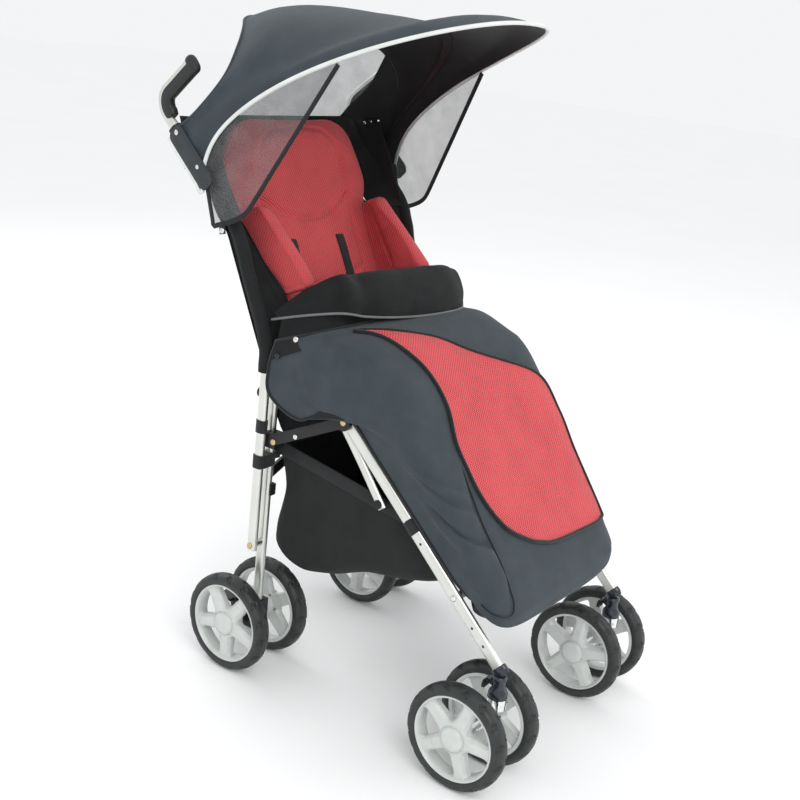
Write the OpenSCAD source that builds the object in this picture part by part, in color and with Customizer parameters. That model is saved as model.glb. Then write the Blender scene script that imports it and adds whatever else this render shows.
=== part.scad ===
// Folding special needs buggy: umbrella-fold aluminium frame, double wheels,
// sling seat with padded liner, tilting canopy and a zipped leg cover.
// +Z is up, the buggy faces -Y and its left side is +X. The origin is on the
// floor, under the middle of its length.

/* [Wheels] */
// Outer diameter of a tyre
wheel_d = 190; // [170:1:210]
// Width of a tyre
tyre_w = 32; // [26:1:36]
// Height of the tyre wall outside the rim
tyre_h = 19; // [14:1:24]
// Radius of the tyre's shoulder
tyre_shoulder_r = 10; // [6:1:12]
// Wall of the rim under the tyre
rim_wall = 6; // [4:1:9]
// Width of the rim
rim_w = 28; // [22:1:30]
// Diameter of the wheel hub
hub_d = 42; // [36:1:50]
// Width of the wheel hub
hub_w = 40; // [34:1:44]
// Number of spokes
spoke_count = 5; // [3:1:7]
// Width of a spoke at the hub
spoke_w = 26; // [18:1:30]
// Thickness of a spoke
spoke_t = 14; // [8:1:18]
// Diameter of the axles
axle_d = 10; // [8:1:12]
// Distance between the rear axle and the front axle
wheelbase = 524; // [480:1:580]
// Distance between the middles of the two rear wheel pairs
rear_track = 406; // [380:1:440]
// Distance between the two wheels of a rear pair
rear_pair = 109; // [104:1:120]
// Distance between the middles of the two front wheel pairs
front_track = 415; // [400:1:440]
// Distance between the two wheels of a front pair
front_pair = 103; // [98:1:114]
// Distance that a front axle trails behind its swivel
caster_trail = 37; // [30:1:44]

/* [Frame tubes] */
// Width of the frame tubes, across the buggy
tube_w = 14; // [12:1:16]
// Depth of the upright tubes, fore and aft
tube_d = 20; // [18:1:24]
// Wall of the frame tubes
tube_wall = 2; // [1.5:0.1:3]
// Distance of the uprights ahead of the rear axle
upright_lead = 20; // [14:1:26]
// Distance of the push tube outside the rear leg
push_gap = 27; // [25:1:32]
// Height of the push tube's lower end
push_foot_z = 243; // [220:1:260]
// Height where the push tube starts to flare and lean
knee_z = 618; // [600:1:640]
// Lean of the push tube above the knee
lean_low = 21.5; // [18:0.5:25]
// Lean of the push tube at the canopy clamp
lean_high = 46; // [42:0.5:50]
// Outward flare of the push tubes above the knee
flare = 5; // [3:0.5:6]
// Bend radius of the push tube
bend_r = 80; // [60:1:100]
// Straight length of the push tube between its two bends
lean_run = 191; // [170:1:210]
// Straight length of the push tube through the canopy clamp
clamp_run = 209; // [195:1:225]
// Bend radius of the handle
handle_r = 34; // [30:1:42]
// Turn of the handle
handle_turn = 95; // [85:1:105]
// Straight length of the handle beyond its bend
handle_run = 80; // [60:1:95]
// Width of the handle grip
grip_w = 26; // [22:1:32]
// Depth of the handle grip
grip_d = 24; // [20:1:28]
// Height of the rear leg's upper end
rear_leg_top_z = 612; // [590:1:620]

/* [Seat rail and front leg] */
// Height of the front leg's pivot
knuckle_z = 543; // [520:1:560]
// Distance of the front leg's pivot ahead of the rear axle
knuckle_lead = 195; // [180:1:215]
// Height of the seat rail's rear end
rail_rear_z = 462; // [445:1:480]
// Depth of the seat rail
rail_d = 20; // [16:1:24]
// Thickness of the seat rail
rail_t = 8; // [6:1:9]
// Depth of the front leg
leg_d = 23; // [20:1:26]
// Width of the front leg
leg_w = 12; // [10:1:13]
// Height of the front leg's lower end
leg_foot_z = 212; // [205:1:225]
// Diameter of the frame's pivot pins
pin_d = 8; // [6:0.5:9]
// Diameter of the small holes along the front leg
hole_d = 5; // [4:0.5:6]
// Place of the footrest's bolt along the front leg, as a share of its length
footrest_at_share = 0.7133; // [0.69:0.0001:0.73]

/* [Fold brace] */
// Height of the brace's upper pivots
brace_top_z = 540; // [530:1:550]
// Height of the brace from a lower pivot to an upper one
brace_h = 180; // [170:1:190]
// Width of a brace bar
bar_w = 20; // [16:1:24]
// Thickness of a brace bar
bar_t = 6; // [4:0.5:7]
// Height of the slider on the rear leg
slider_h = 22; // [18:1:24]

/* [Seat] */
// Distance from the rear axle forward to the crease between seat and back
crease_lead = 46; // [42:1:60]
// Height of the crease
crease_z = 466; // [455:1:480]
// Lean of the back
back_lean = 26.6; // [22:0.1:30]
// Lean of the head section
head_lean = 11; // [5:0.5:20]
// Slope length of the back up to the head section
back_l = 452; // [420:1:480]
// Slope length of the head section
head_l = 142; // [120:1:160]
// Slope of the seat, rising to the front
seat_tilt = 27; // [20:0.5:30]
// Depth of the seat
seat_l = 160; // [145:1:170]
// Width of the sling
sling_w = 391; // [370:1:391]
// Thickness of the sling fabric
sling_t = 3; // [2:0.5:4]
// Width of the seat liner
liner_w = 270; // [250:1:290]
// Thickness of the seat liner
liner_t = 28; // [20:1:32]
// Thickness of a side bolster
bolster_t = 40; // [30:1:44]
// Width of a harness strap
strap_w = 25; // [20:1:38]
// Thickness of a harness strap
strap_t = 2; // [1.5:0.1:3]
// Distance between the two harness straps
strap_gap = 108; // [90:1:130]

/* [Basket] */
// Width of the basket
basket_w = 372; // [350:1:376]
// Length of the basket
basket_l = 300; // [270:1:305]
// Depth of the basket at the back
basket_h = 250; // [220:1:260]
// Height of the basket's rear rim
basket_rim_z = 440; // [430:1:445]

/* [Canopy] */
// Distance of the canopy's side outside its clamp's middle
canopy_standoff = 21.1; // [21:0.1:25]
// Forward reach of the canopy from its lower corner
canopy_reach = 465; // [420:1:500]
// Height of the canopy above its lower corner
canopy_h = 352; // [320:1:380]
// Rearward reach of the canopy's back edge behind its waist
canopy_back = 75; // [50:1:90]
// Thickness of the canopy fabric
canopy_t = 3; // [2:0.5:4]
// Depth of the mesh window below the canopy's lower corner
window_drop = 39; // [30:1:50]

/* [Leg cover] */
// Distance of the leg cover's front behind the swivels
cover_setback = 5; // [0:1:14]
// Height of the leg cover's lowest point above the front leg's lower end
cover_lift = 54; // [42:1:64]
// Half of the leg cover's width at the lap
cover_half_w = 238; // [238:1:242]
// Thickness of the leg cover
cover_t = 5; // [4:0.5:6]
// Thickness of the mesh panel on the leg cover
panel_t = 3; // [2.5:0.5:5]
// Thickness of the lap flap
flap_t = 14; // [10:1:18]

/* [Hidden] */
$fn = 48;

// Clearances and small sizes
running_gap = 0.05;
side_gap = 0.5;
soft_gap = 0.4;
overrun = 1;
head_t = 2.5;
slider_wall = 3;
boss_d = 14;
tiny_pin_d = 5;

// Places of the frame
wheel_r = wheel_d / 2;
rim_r = wheel_r - tyre_h;
half_rear = rear_track / 2;
half_front = front_track / 2;
push_x = half_rear + push_gap;
leg_foot_lead = wheelbase + caster_trail;
brace_mid_z = brace_top_z - brace_h / 2;
brace_half = norm([half_rear, brace_h / 2]);
brace_angle = atan2(brace_h / 2, half_rear);
bar_gap = 1;
bar_standoff = 10;
front_bar_y = tube_d / 2 - upright_lead + bar_standoff;
rear_bar_y = front_bar_y + bar_t + bar_gap;
handle_start = bend_r * (1 - cos(lean_high)) + lean_run * sin(lean_low) + clamp_run * sin(lean_high);
handle_back = handle_start - upright_lead + handle_r * (1 - cos(lean_high)) + tube_d / 2;
middle_shift = (wheelbase + wheel_r - handle_back) / 2;

// Mirrors a left-hand piece to the side that s names
module side(s) {
  if (s < 0) mirror([1, 0, 0]) children();
  else children();
}

// Moves a piece from the rear axle's own frame to the buggy's frame
module on_floor() {
  translate([0, middle_shift, 0]) children();
}

// Flat oval, its longer size along Y
module oval(w, d) {
  square([w, d - w], center = true);
  for (end = [-1, 1]) translate([0, end * (d - w) / 2]) circle(d = w);
}

// Rounded rectangle
module round_rect(w, d, r) {
  square([w - 2 * r, d], center = true);
  square([w, d - 2 * r], center = true);
  for (a = [-1, 1], b = [-1, 1]) translate([a * (w / 2 - r), b * (d / 2 - r)]) circle(r = r);
}

// Cylinder along X, centred
module x_rod(d, l) {
  rotate([0, 90, 0]) cylinder(d = d, h = l, center = true);
}

// Cylinder along Y from its start
module y_rod(d, l) {
  rotate([-90, 0, 0]) cylinder(d = d, h = l);
}

// Bent tube that starts along +Z and turns towards +Y. It dips a little into the runs at its two
// ends, and its profile is a bend_step smaller all round than theirs.
bend_dip = 1;
bend_step = 0.1;
module bend(turn, radius) {
  dip = asin(bend_dip / radius);
  mirror([0, turn < 0 ? 1 : 0, 0])
    translate([0, radius, 0])
      rotate([90, 0, -90])
        rotate(-dip)
          rotate_extrude(angle = abs(turn) + 2 * dip, $fn = 96)
            translate([radius, 0]) rotate(90) mirror([0, turn < 0 ? 1 : 0]) children();
}

// Goes to the end of a bend
module after_bend(turn, radius) {
  translate([0, sign(turn) * radius * (1 - cos(turn)), radius * abs(sin(turn))])
    rotate([-turn, 0, 0]) children();
}

// Soft grids and skins
function mix(a, b, t) = a + (b - a) * t;
function clamp_index(i, n) = max(0, min(n - 1, i));
function grid_normal(g, i, j) =
  let (
    rows = len(g),
    cols = len(g[0]),
    along = g[clamp_index(i + 1, rows)][j] - g[clamp_index(i - 1, rows)][j],
    across = g[i][clamp_index(j + 1, cols)] - g[i][clamp_index(j - 1, cols)],
    n = cross(along, across)
  ) n / norm(n);
function offset_grid(g, t) =
  [for (i = [0 : len(g) - 1]) [for (j = [0 : len(g[0]) - 1]) g[i][j] + t * grid_normal(g, i, j)]];
function signed_volume(points, faces) =
  let (parts = [for (f = faces) points[f[0]] * cross(points[f[1]], points[f[2]])])
  parts * [for (p = parts) 1];
function inside_out(faces) = [for (f = faces) [f[2], f[1], f[0]]];

// Closed solid between two grids of points
module skin(top, bottom) {
  rows = len(top);
  cols = len(top[0]);
  count = rows * cols;
  points = concat([for (row = top) each row], [for (row = bottom) each row]);
  upper = [for (i = [0 : rows - 2], j = [0 : cols - 2]) each
    let (a = i * cols + j, b = a + 1, c = a + cols + 1, d = a + cols) [[a, b, c], [a, c, d]]];
  lower = [for (f = inside_out(upper)) [for (v = f) v + count]];
  rim = concat(
    [for (j = [0 : cols - 2]) j],
    [for (i = [0 : rows - 2]) i * cols + cols - 1],
    [for (j = [cols - 1 : -1 : 1]) (rows - 1) * cols + j],
    [for (i = [rows - 1 : -1 : 1]) i * cols]);
  edge = [for (k = [0 : len(rim) - 1]) each
    let (a = rim[k], b = rim[(k + 1) % len(rim)]) [[a, a + count, b + count], [a, b + count, b]]];
  faces = concat(upper, lower, edge);
  polyhedron(points, signed_volume(points, faces) > 0 ? inside_out(faces) : faces);
}

// Crowned cushion on the XY plane, its sides drawn in between the corners
pad_steps = 14;
rim_share = 0.35;
draw_share = 0.035;
module pad(w, l, t) {
  function height(u, v) = t * (rim_share + (1 - rim_share) * sqrt((1 - pow(u, 4)) * (1 - pow(v, 4))));
  function drawn(u) = 1 - draw_share * (1 - u * u);
  function at(u, v, z) = [w / 2 * u * drawn(v), l / 2 * v * drawn(u), z];
  steps = [for (k = [0 : pad_steps]) 2 * k / pad_steps - 1];
  top = [for (v = steps) [for (u = steps) at(u, v, height(u, v))]];
  bottom = [for (v = steps) [for (u = steps) at(u, v, 0)]];
  skin(top, bottom);
}

// Brace that holds the two sides apart: two crossed bars on a pin
module brace_pivot() {
  pin_l = 2 * bar_t + bar_gap + 2 * side_gap;
  color("silver") on_floor() translate([0, front_bar_y - side_gap, brace_mid_z]) {
    y_rod(pin_d, pin_l);
    translate([0, -head_t, 0]) y_rod(boss_d, head_t);
    translate([0, pin_l, 0]) y_rod(boss_d, head_t);
  }
}

module brace_bar(y, turn) {
  color("dimgray") on_floor() translate([0, y, brace_mid_z]) rotate([0, turn, 0])
    rotate([-90, 0, 0]) linear_extrude(bar_t) difference() {
      union() {
        square([2 * brace_half, bar_w], center = true);
        for (end = [-1, 1]) translate([end * brace_half, 0]) circle(d = bar_w);
      }
      for (place = [-1, 0, 1]) translate([place * brace_half, 0]) circle(d = pin_d + 2 * running_gap);
    }
}

module brace_bar_front() {
  brace_bar(front_bar_y, -brace_angle);
}

module brace_bar_rear() {
  brace_bar(rear_bar_y, brace_angle);
}

// Boss and pin that carry one end of a brace bar, from the plane y
module bar_pin(y, bar_y) {
  translate([0, y, 0]) y_rod(boss_d, bar_y - side_gap - y);
  translate([0, y, 0]) y_rod(pin_d, bar_y + bar_t + side_gap - y);
  translate([0, bar_y + bar_t + side_gap, 0]) y_rod(boss_d, head_t);
}

// Slider that carries the lower end of a brace bar along the rear leg
module slider(s) {
  inner = half_rear - tube_w / 2 - soft_gap;
  lip = tube_d / 2 + soft_gap;
  color("dimgray") on_floor() side(s)
    translate([0, -upright_lead, brace_top_z - brace_h - slider_h / 2]) {
      linear_extrude(slider_h) {
        translate([inner - slider_wall, -lip - slider_wall]) square([slider_wall, 2 * (lip + slider_wall)]);
        translate([inner - slider_wall, lip]) square([tube_w + slider_wall, slider_wall]);
        translate([inner - slider_wall, -lip - slider_wall]) square([tube_w, slider_wall]);
      }
      translate([half_rear, 0, slider_h / 2])
        bar_pin(lip + slider_wall - overrun, (s > 0 ? rear_bar_y : front_bar_y) + upright_lead);
    }
}

// Path of the push tube above its knee: its runs carry the first profile and its bends the second
module push_path(from_share, extra) {
  if (from_share <= 0) {
    bend(lean_low, bend_r) children(1);
    after_bend(lean_low, bend_r) linear_extrude(lean_run) children(0);
  }
  after_bend(lean_low, bend_r) translate([0, 0, lean_run]) {
    if (from_share <= 0) bend(lean_high - lean_low, bend_r) children(1);
    after_bend(lean_high - lean_low, bend_r) {
      translate([0, 0, from_share * clamp_run]) linear_extrude((1 - from_share) * clamp_run) children(0);
      translate([0, 0, clamp_run]) {
        bend(-handle_turn, handle_r) children(1);
        after_bend(-handle_turn, handle_r) linear_extrude(handle_run + extra) children(0);
      }
    }
  }
}

// Stands above the knee of a push tube, in its flared plane
knee_rise = bend_r * sin(flare);
knee_out = bend_r * (1 - cos(flare));
module at_knee() {
  translate([push_x + knee_out, -upright_lead, knee_z + knee_rise]) rotate([0, flare, 0]) children();
}

module push_tube_shape() {
  translate([push_x, -upright_lead, push_foot_z])
    linear_extrude(knee_z - push_foot_z) oval(tube_w, tube_d);
  translate([push_x, -upright_lead, knee_z])
    rotate(-90) bend(flare, bend_r) rotate(90) oval(tube_w - 2 * bend_step, tube_d - 2 * bend_step);
  at_knee() {
    translate([0, 0, -2 * bend_dip]) linear_extrude(4 * bend_dip) oval(tube_w, tube_d);
    push_path(0, 0) {
      oval(tube_w, tube_d);
      oval(tube_w - 2 * bend_step, tube_d - 2 * bend_step);
    }
  }
}

module push_tube(s) {
  bolt_z = push_foot_z + tube_d / 2;
  boss_l = push_gap - tube_w + tube_wall / 2;
  color("gainsboro") on_floor() side(s) {
    difference() {
      push_tube_shape();
      translate([push_x, -upright_lead, push_foot_z - overrun])
        linear_extrude(knee_z - push_foot_z - tube_d) oval(tube_w - 2 * tube_wall, tube_d - 2 * tube_wall);
    }
    for (z = [bolt_z, rear_leg_top_z - tube_d])
      translate([half_rear + (tube_w + boss_l) / 2, -upright_lead, z]) x_rod(boss_d, boss_l);
  }
}

// Grip on the inner side of the handle
grip_start_share = 0.95;
grip_shift_share = 0.42;
module handle_grip(s) {
  shift = grip_d * grip_shift_share;
  bore_w = tube_w + 2 * running_gap;
  bore_d = tube_d + 2 * running_gap;
  color("dimgray") on_floor() side(s) at_knee() difference() {
    push_path(grip_start_share, 0) {
      translate([0, -shift]) round_rect(grip_w, grip_d, grip_d / 3);
      translate([0, -shift]) round_rect(grip_w - 2 * bend_step, grip_d - 2 * bend_step, grip_d / 3);
    }
    push_path(0, overrun) {
      oval(bore_w, bore_d);
      oval(bore_w - bend_step, bore_d - bend_step);
    }
  }
}

// Rear leg with the boss for the upper end of a brace bar
housing_top_z = 133;
rear_leg_foot_z = 108;
module rear_leg(s) {
  color("gainsboro") on_floor() side(s) translate([half_rear, -upright_lead, 0]) {
    translate([0, 0, rear_leg_foot_z]) linear_extrude(rear_leg_top_z - rear_leg_foot_z) difference() {
      oval(tube_w, tube_d);
      oval(tube_w - 2 * tube_wall, tube_d - 2 * tube_wall);
    }
    translate([0, 0, brace_top_z])
      bar_pin(tube_d / 2 - tube_wall, (s > 0 ? front_bar_y : rear_bar_y) + upright_lead);
  }
}

// Seat rail with the bracket that grips the rear leg and the pivot pin of the front leg
leg_x = half_front;
rail_x = leg_x + leg_w / 2 + side_gap + rail_t / 2;
bracket_h = 28;
bracket_nose = 16;
rail_inset = 5;
bracket_lead = upright_lead + tube_d / 2 + bracket_nose;
rail_rear_lead = upright_lead + tube_d / 2 + rail_inset;
knuckle_d = 30;
module seat_rail(s) {
  rise = knuckle_z - rail_rear_z;
  run = knuckle_lead - rail_rear_lead;
  pin_l = leg_w + rail_t + side_gap + head_t;
  color("dimgray") on_floor() side(s) {
    translate([rail_x - rail_t / 2, -rail_rear_lead, rail_rear_z]) rotate([90, 0, 90])
      linear_extrude(rail_t) {
        rotate(180 - atan2(rise, run)) translate([0, -rail_d / 2]) square([norm([rise, run]), rail_d]);
        circle(d = rail_d);
        translate([-run, rise]) circle(d = knuckle_d);
      }
    translate([rail_x + rail_t / 2 - pin_l / 2, -knuckle_lead, knuckle_z]) x_rod(pin_d, pin_l);
    difference() {
      translate([half_rear - tube_w / 2, -bracket_lead, rail_rear_z - bracket_h / 2])
        cube([rail_x + rail_t / 2 - half_rear + tube_w / 2, bracket_lead - upright_lead, bracket_h]);
      for (x = [half_rear, push_x]) translate([x, -upright_lead, rail_rear_z - bracket_h])
        linear_extrude(2 * bracket_h) oval(tube_w, tube_d);
    }
  }
}

// Hinge of a small lever: a web that carries a pin along X, and the rings round it
web_w = 4;
lever_w = 18;
module hinge_web(l) {
  translate([-web_w / 2, -l, -tiny_pin_d]) cube([web_w, l, 2 * tiny_pin_d]);
  x_rod(tiny_pin_d, lever_w);
}
module hinge_rings() {
  ring_w = (lever_w - web_w) / 2 - side_gap;
  for (end = [-1, 1]) translate([end * (lever_w - ring_w) / 2, 0, 0]) difference() {
    x_rod(2 * tiny_pin_d, ring_w);
    x_rod(tiny_pin_d + 2 * running_gap, ring_w + overrun);
  }
}

// Housing on the rear leg's foot, with the axle of a rear pair
housing_w = 30;
housing_wall = 4;
housing_r = 21;
brake_y = 30;
brake_z = 112;
module rear_housing(s) {
  lead = upright_lead + tube_d / 2 + housing_wall;
  boss_l = rear_pair - hub_w - 2 * side_gap;
  color("dimgray") on_floor() side(s) translate([half_rear, 0, 0]) {
    difference() {
      union() {
        translate([-housing_w / 2, -lead, wheel_r - housing_r])
          cube([housing_w, lead, housing_top_z - wheel_r + housing_r]);
        translate([0, 0, wheel_r]) x_rod(2 * housing_r, housing_w);
        translate([0, 0, wheel_r]) x_rod(hub_d - 2 * rim_wall, boss_l);
      }
      translate([0, -upright_lead, rear_leg_foot_z]) linear_extrude(rear_leg_top_z) oval(tube_w, tube_d);
    }
    translate([0, 0, wheel_r]) x_rod(axle_d, rear_pair + hub_w);
    translate([0, brake_y, brake_z]) hinge_web(brake_y);
  }
}

// Foot pedal of the parking brake
pedal_l = 34;
pedal_w = 32;
pedal_t = 6;
module brake_pedal(s) {
  color("dimgray") on_floor() side(s) translate([half_rear, brake_y, brake_z]) {
    hinge_rings();
    translate([-pedal_w / 2, tiny_pin_d - overrun, -pedal_t / 2]) cube([pedal_w, pedal_l, pedal_t]);
  }
}

// Clamp on the push tube with the canopy's pivot
clamp_from_share = 0.4;
clamp_to_share = 0.88;
clamp_wall = 4;
clamp_at = (clamp_from_share + clamp_to_share) / 2 * clamp_run;
pivot_reach = bend_r * (1 - cos(lean_high)) + lean_run * sin(lean_low) + clamp_at * sin(lean_high);
pivot_rise = bend_r * sin(lean_high) + lean_run * cos(lean_low) + clamp_at * cos(lean_high);
pivot_y = pivot_reach - upright_lead;
pivot_z = knee_z + knee_rise + pivot_rise * cos(flare);
pivot_x = push_x + knee_out + pivot_rise * sin(flare);
plate_t = 3;
plate_gap = 2.5;
canopy_half_w = pivot_x + canopy_standoff;
plate_x = canopy_half_w - canopy_t - plate_gap - plate_t;
clamp_boss_d = 24;
module at_clamp() {
  at_knee() after_bend(lean_low, bend_r) translate([0, 0, lean_run])
    after_bend(lean_high - lean_low, bend_r) children();
}
module canopy_clamp(s) {
  boss_x = pivot_x + tube_w / 2 - tube_wall;
  color("dimgray") on_floor() side(s) {
    difference() {
      union() {
        at_clamp() translate([0, 0, clamp_from_share * clamp_run])
          linear_extrude((clamp_to_share - clamp_from_share) * clamp_run)
            oval(tube_w + 2 * clamp_wall, tube_d + 2 * clamp_wall);
        translate([(boss_x + plate_x - side_gap) / 2, pivot_y, pivot_z])
          x_rod(clamp_boss_d, plate_x - side_gap - boss_x);
        translate([(boss_x + plate_x + plate_t) / 2, pivot_y, pivot_z])
          x_rod(pin_d, plate_x + plate_t - boss_x);
      }
      at_clamp() linear_extrude(clamp_run) oval(tube_w, tube_d);
    }
  }
}

// Fabric sleeve of the seat side round the push tube
sleeve_from_share = 0.06;
sleeve_t = 2.5;
module tube_sleeve(s) {
  color("dimgray") on_floor() side(s) at_knee() after_bend(lean_low, bend_r)
    translate([0, 0, sleeve_from_share * lean_run])
      linear_extrude((1 - sleeve_from_share) * lean_run) difference() {
        oval(tube_w + 2 * (soft_gap + sleeve_t), tube_d + 2 * (soft_gap + sleeve_t));
        oval(tube_w + 2 * soft_gap, tube_d + 2 * soft_gap);
      }
}

// Points of the seat's side view, as [y, z]
crease = [-crease_lead, crease_z];
seat_front = crease + seat_l * [-cos(seat_tilt), sin(seat_tilt)];
back_top = crease + back_l * [sin(back_lean), cos(back_lean)];
head_top = back_top + head_l * [sin(head_lean), cos(head_lean)];
seat_down = sling_t * [-sin(seat_tilt), -cos(seat_tilt)];
back_behind = sling_t * [cos(back_lean), -sin(back_lean)];
head_behind = sling_t * [cos(head_lean), -sin(head_lean)];

// Extrudes a side view across the buggy, between two places along X
module across(x0, x1) {
  translate([x0, 0, 0]) rotate([90, 0, 90]) linear_extrude(x1 - x0) children();
}

// Bolsters beside the back, running down to the lap
bolster_l = 184;
bolster_w = 66;
bolster_slope = 42;
bolster_back = 60;
bolster_rise = 337;
bolster_mid = crease + [bolster_back, bolster_rise];
bolster_along = [cos(bolster_slope), sin(bolster_slope)];
bolster_up = [-sin(bolster_slope), cos(bolster_slope)];
module side_bolsters() {
  color("indianred") on_floor() for (s = [-1, 1]) side(s)
    translate([sling_w / 2 - sling_t - soft_gap, bolster_mid[0], bolster_mid[1]])
      rotate([bolster_slope, 0, 0]) rotate([0, -90, 0]) rotate(90)
        pad(bolster_l, bolster_w, bolster_t);
}

// Sling that hangs between the tubes: seat, back and two side walls up to the bolsters
arm_back = 31;
arm_rise = 184;
wall_lap = 13;
wall_from_share = -0.3;
wall_to_share = 0.45;
module seat_sling() {
  half = sling_w / 2;
  arm = crease + [arm_back, arm_rise];
  lap = bolster_mid - (bolster_w / 2 - wall_lap) * bolster_up;
  wing_low = lap + wall_from_share * bolster_l * bolster_along;
  wing_high = lap + wall_to_share * bolster_l * bolster_along;
  color("dimgray") on_floor() {
    across(-half, half) polygon([seat_front, crease, back_top, head_top, head_top + head_behind,
      back_top + back_behind, crease + back_behind + seat_down, seat_front + seat_down]);
    for (s = [-1, 1]) side(s) across(half - sling_t, half)
      polygon([seat_front, arm, wing_low, wing_high, back_top, crease]);
  }
}

module on_seat() {
  translate([0, crease[0], crease[1]]) rotate([-seat_tilt, 0, 0]) children();
}
module on_back() {
  translate([0, crease[0], crease[1]]) rotate([90 - back_lean, 0, 0]) children();
}
module on_head() {
  translate([0, back_top[0], back_top[1]]) rotate([90 - head_lean, 0, 0]) children();
}

// Padded liner: seat, back and head pads
crease_gap = liner_t / tan((90 + seat_tilt - back_lean) / 2);
module seat_cushion() {
  l = seat_l - crease_gap;
  color("indianred") on_floor() on_seat()
    translate([0, -crease_gap - l / 2, soft_gap]) pad(liner_w, l - soft_gap, liner_t - soft_gap);
}
head_gap = liner_t * tan((back_lean - head_lean) / 2);
module back_cushion() {
  l = back_l - crease_gap - head_gap;
  color("indianred") on_floor() on_back()
    translate([0, crease_gap + l / 2, soft_gap]) pad(liner_w, l - soft_gap, liner_t - soft_gap);
}
module head_cushion() {
  color("indianred") on_floor() on_head()
    translate([0, head_gap + (head_l - head_gap) / 2, soft_gap])
      pad(liner_w, head_l - head_gap - soft_gap, liner_t - soft_gap);
}

// Shoulder straps in front of the back pad
strap_from_share = 0.3;
strap_to_share = 0.82;
module harness() {
  color("dimgray") on_floor() on_back() for (s = [-1, 1])
    translate([s * strap_gap / 2 - strap_w / 2, strap_from_share * back_l, liner_t + soft_gap])
      cube([strap_w, (strap_to_share - strap_from_share) * back_l, strap_t]);
}

// Open-topped basket under the seat, its points as shares of its length and depth
basket_shares = [[0, 0], [1, -0.16], [1.22, -0.5], [1, -0.61], [0.63, -0.71], [0, -1]];
basket_inner_shares = [[0.012, 0.1], [0.96, 0.1], [0.985, -0.17], [1.19, -0.49], [0.99, -0.59],
  [0.63, -0.69], [0.012, -0.975]];
tab_w = 24;
tab_drop_share = 0.16;
module basket() {
  rear = upright_lead + tube_d / 2 + slider_wall + 2 * soft_gap;
  half = basket_w / 2;
  function place(shares) = [for (p = shares) [-rear - p[0] * basket_l, basket_rim_z + p[1] * basket_h]];
  leg_tab = leg_x - leg_w / 2 - half - soft_gap;
  tube_tab = half_rear - tube_w / 2 - half - soft_gap;
  color("dimgray") on_floor() {
    difference() {
      across(-half, half) polygon(place(basket_shares));
      across(sling_t - half, half - sling_t) polygon(place(basket_inner_shares));
    }
    for (s = [-1, 1]) side(s) translate([half - overrun, 0, 0]) {
      translate([0, -rear - tab_w, basket_rim_z - tab_w])
        cube([overrun + tube_tab, tab_w + rear - upright_lead, tab_w]);
      translate([0, -rear - basket_l, basket_rim_z - tab_drop_share * basket_h - tab_w])
        cube([overrun + leg_tab, tab_w, tab_w]);
    }
  }
}

// Canopy: its front edge and back edge as functions of the angle from the middle
front_power_share = 1.62;
rise_power_share = 0.73;
width_power_share = 0.8;
corner_lead = 38;
corner_drop = 78;
waist_lead = 8;
canopy_corner_y = pivot_y - corner_lead;
canopy_corner_z = pivot_z - corner_drop;
waist_y = pivot_y - waist_lead;
back_y_shares = [[0, 1], [30, 0.8], [45, 0.52], [60, 0.26], [75, 0.04], [90, 0.36]];
back_rise_shares = [[0, 0.885], [30, 0.83], [45, 0.73], [60, 0.58], [75, 0.4], [90, 0.31]];
crown_share = 0.05;
function canopy_x(a) = canopy_half_w * sign(a) * pow(abs(sin(a)), width_power_share);
function canopy_front(a) = [canopy_x(a), canopy_corner_y - canopy_reach * pow(cos(a), front_power_share),
  canopy_corner_z + canopy_h * pow(cos(a), rise_power_share)];
function canopy_back_edge(a) = [canopy_x(a), waist_y + canopy_back * lookup(abs(a), back_y_shares),
  canopy_corner_z + canopy_h * lookup(abs(a), back_rise_shares)];
function canopy_point(a, v) = (1 - v) * canopy_front(a) + v * canopy_back_edge(a)
  + [0, 0, canopy_h * crown_share * 4 * v * (1 - v) * cos(a)];
canopy_cols = 12;
canopy_rows = 8;
canopy_edge_angle = 89.4;
canopy_angles = [for (k = [-canopy_cols : canopy_cols]) canopy_edge_angle * k / canopy_cols];
canopy_grid = [for (k = [0 : canopy_rows]) [for (a = canopy_angles) canopy_point(a, k / canopy_rows)]];
module canopy_shell() {
  color("slategray") on_floor() skin(canopy_grid, offset_grid(canopy_grid, canopy_t));
}

// Stiff bow under the canopy, and the side plates that turn on the clamps
bow_w_share = 0.06;
bow_at_share = 0.42;
bow_t = 2;
plate_d = 30;
strut_w = 14;
strut_t = 4;
module canopy_bow() {
  bow_end = canopy_point(canopy_edge_angle, bow_at_share + bow_w_share / 2);
  strut = [bow_end[1] - pivot_y, bow_end[2] - pivot_z];
  strip = [for (v = [bow_at_share, bow_at_share + bow_w_share])
    [for (a = canopy_angles) canopy_point(a, v)]];
  color("dimgray") on_floor() {
    skin(offset_grid(strip, canopy_t + side_gap), offset_grid(strip, canopy_t + side_gap + bow_t));
    for (s = [-1, 1]) side(s) translate([plate_x, pivot_y, pivot_z]) difference() {
      union() {
        translate([plate_t / 2, 0, 0]) x_rod(plate_d, plate_t);
        rotate([atan2(strut[1], strut[0]), 0, 0])
          translate([0, 0, -strut_w / 2]) cube([strut_t, norm(strut), strut_w]);
      }
      x_rod(pin_d + 2 * running_gap, 2 * strut_t + overrun);
    }
  }
}

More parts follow.
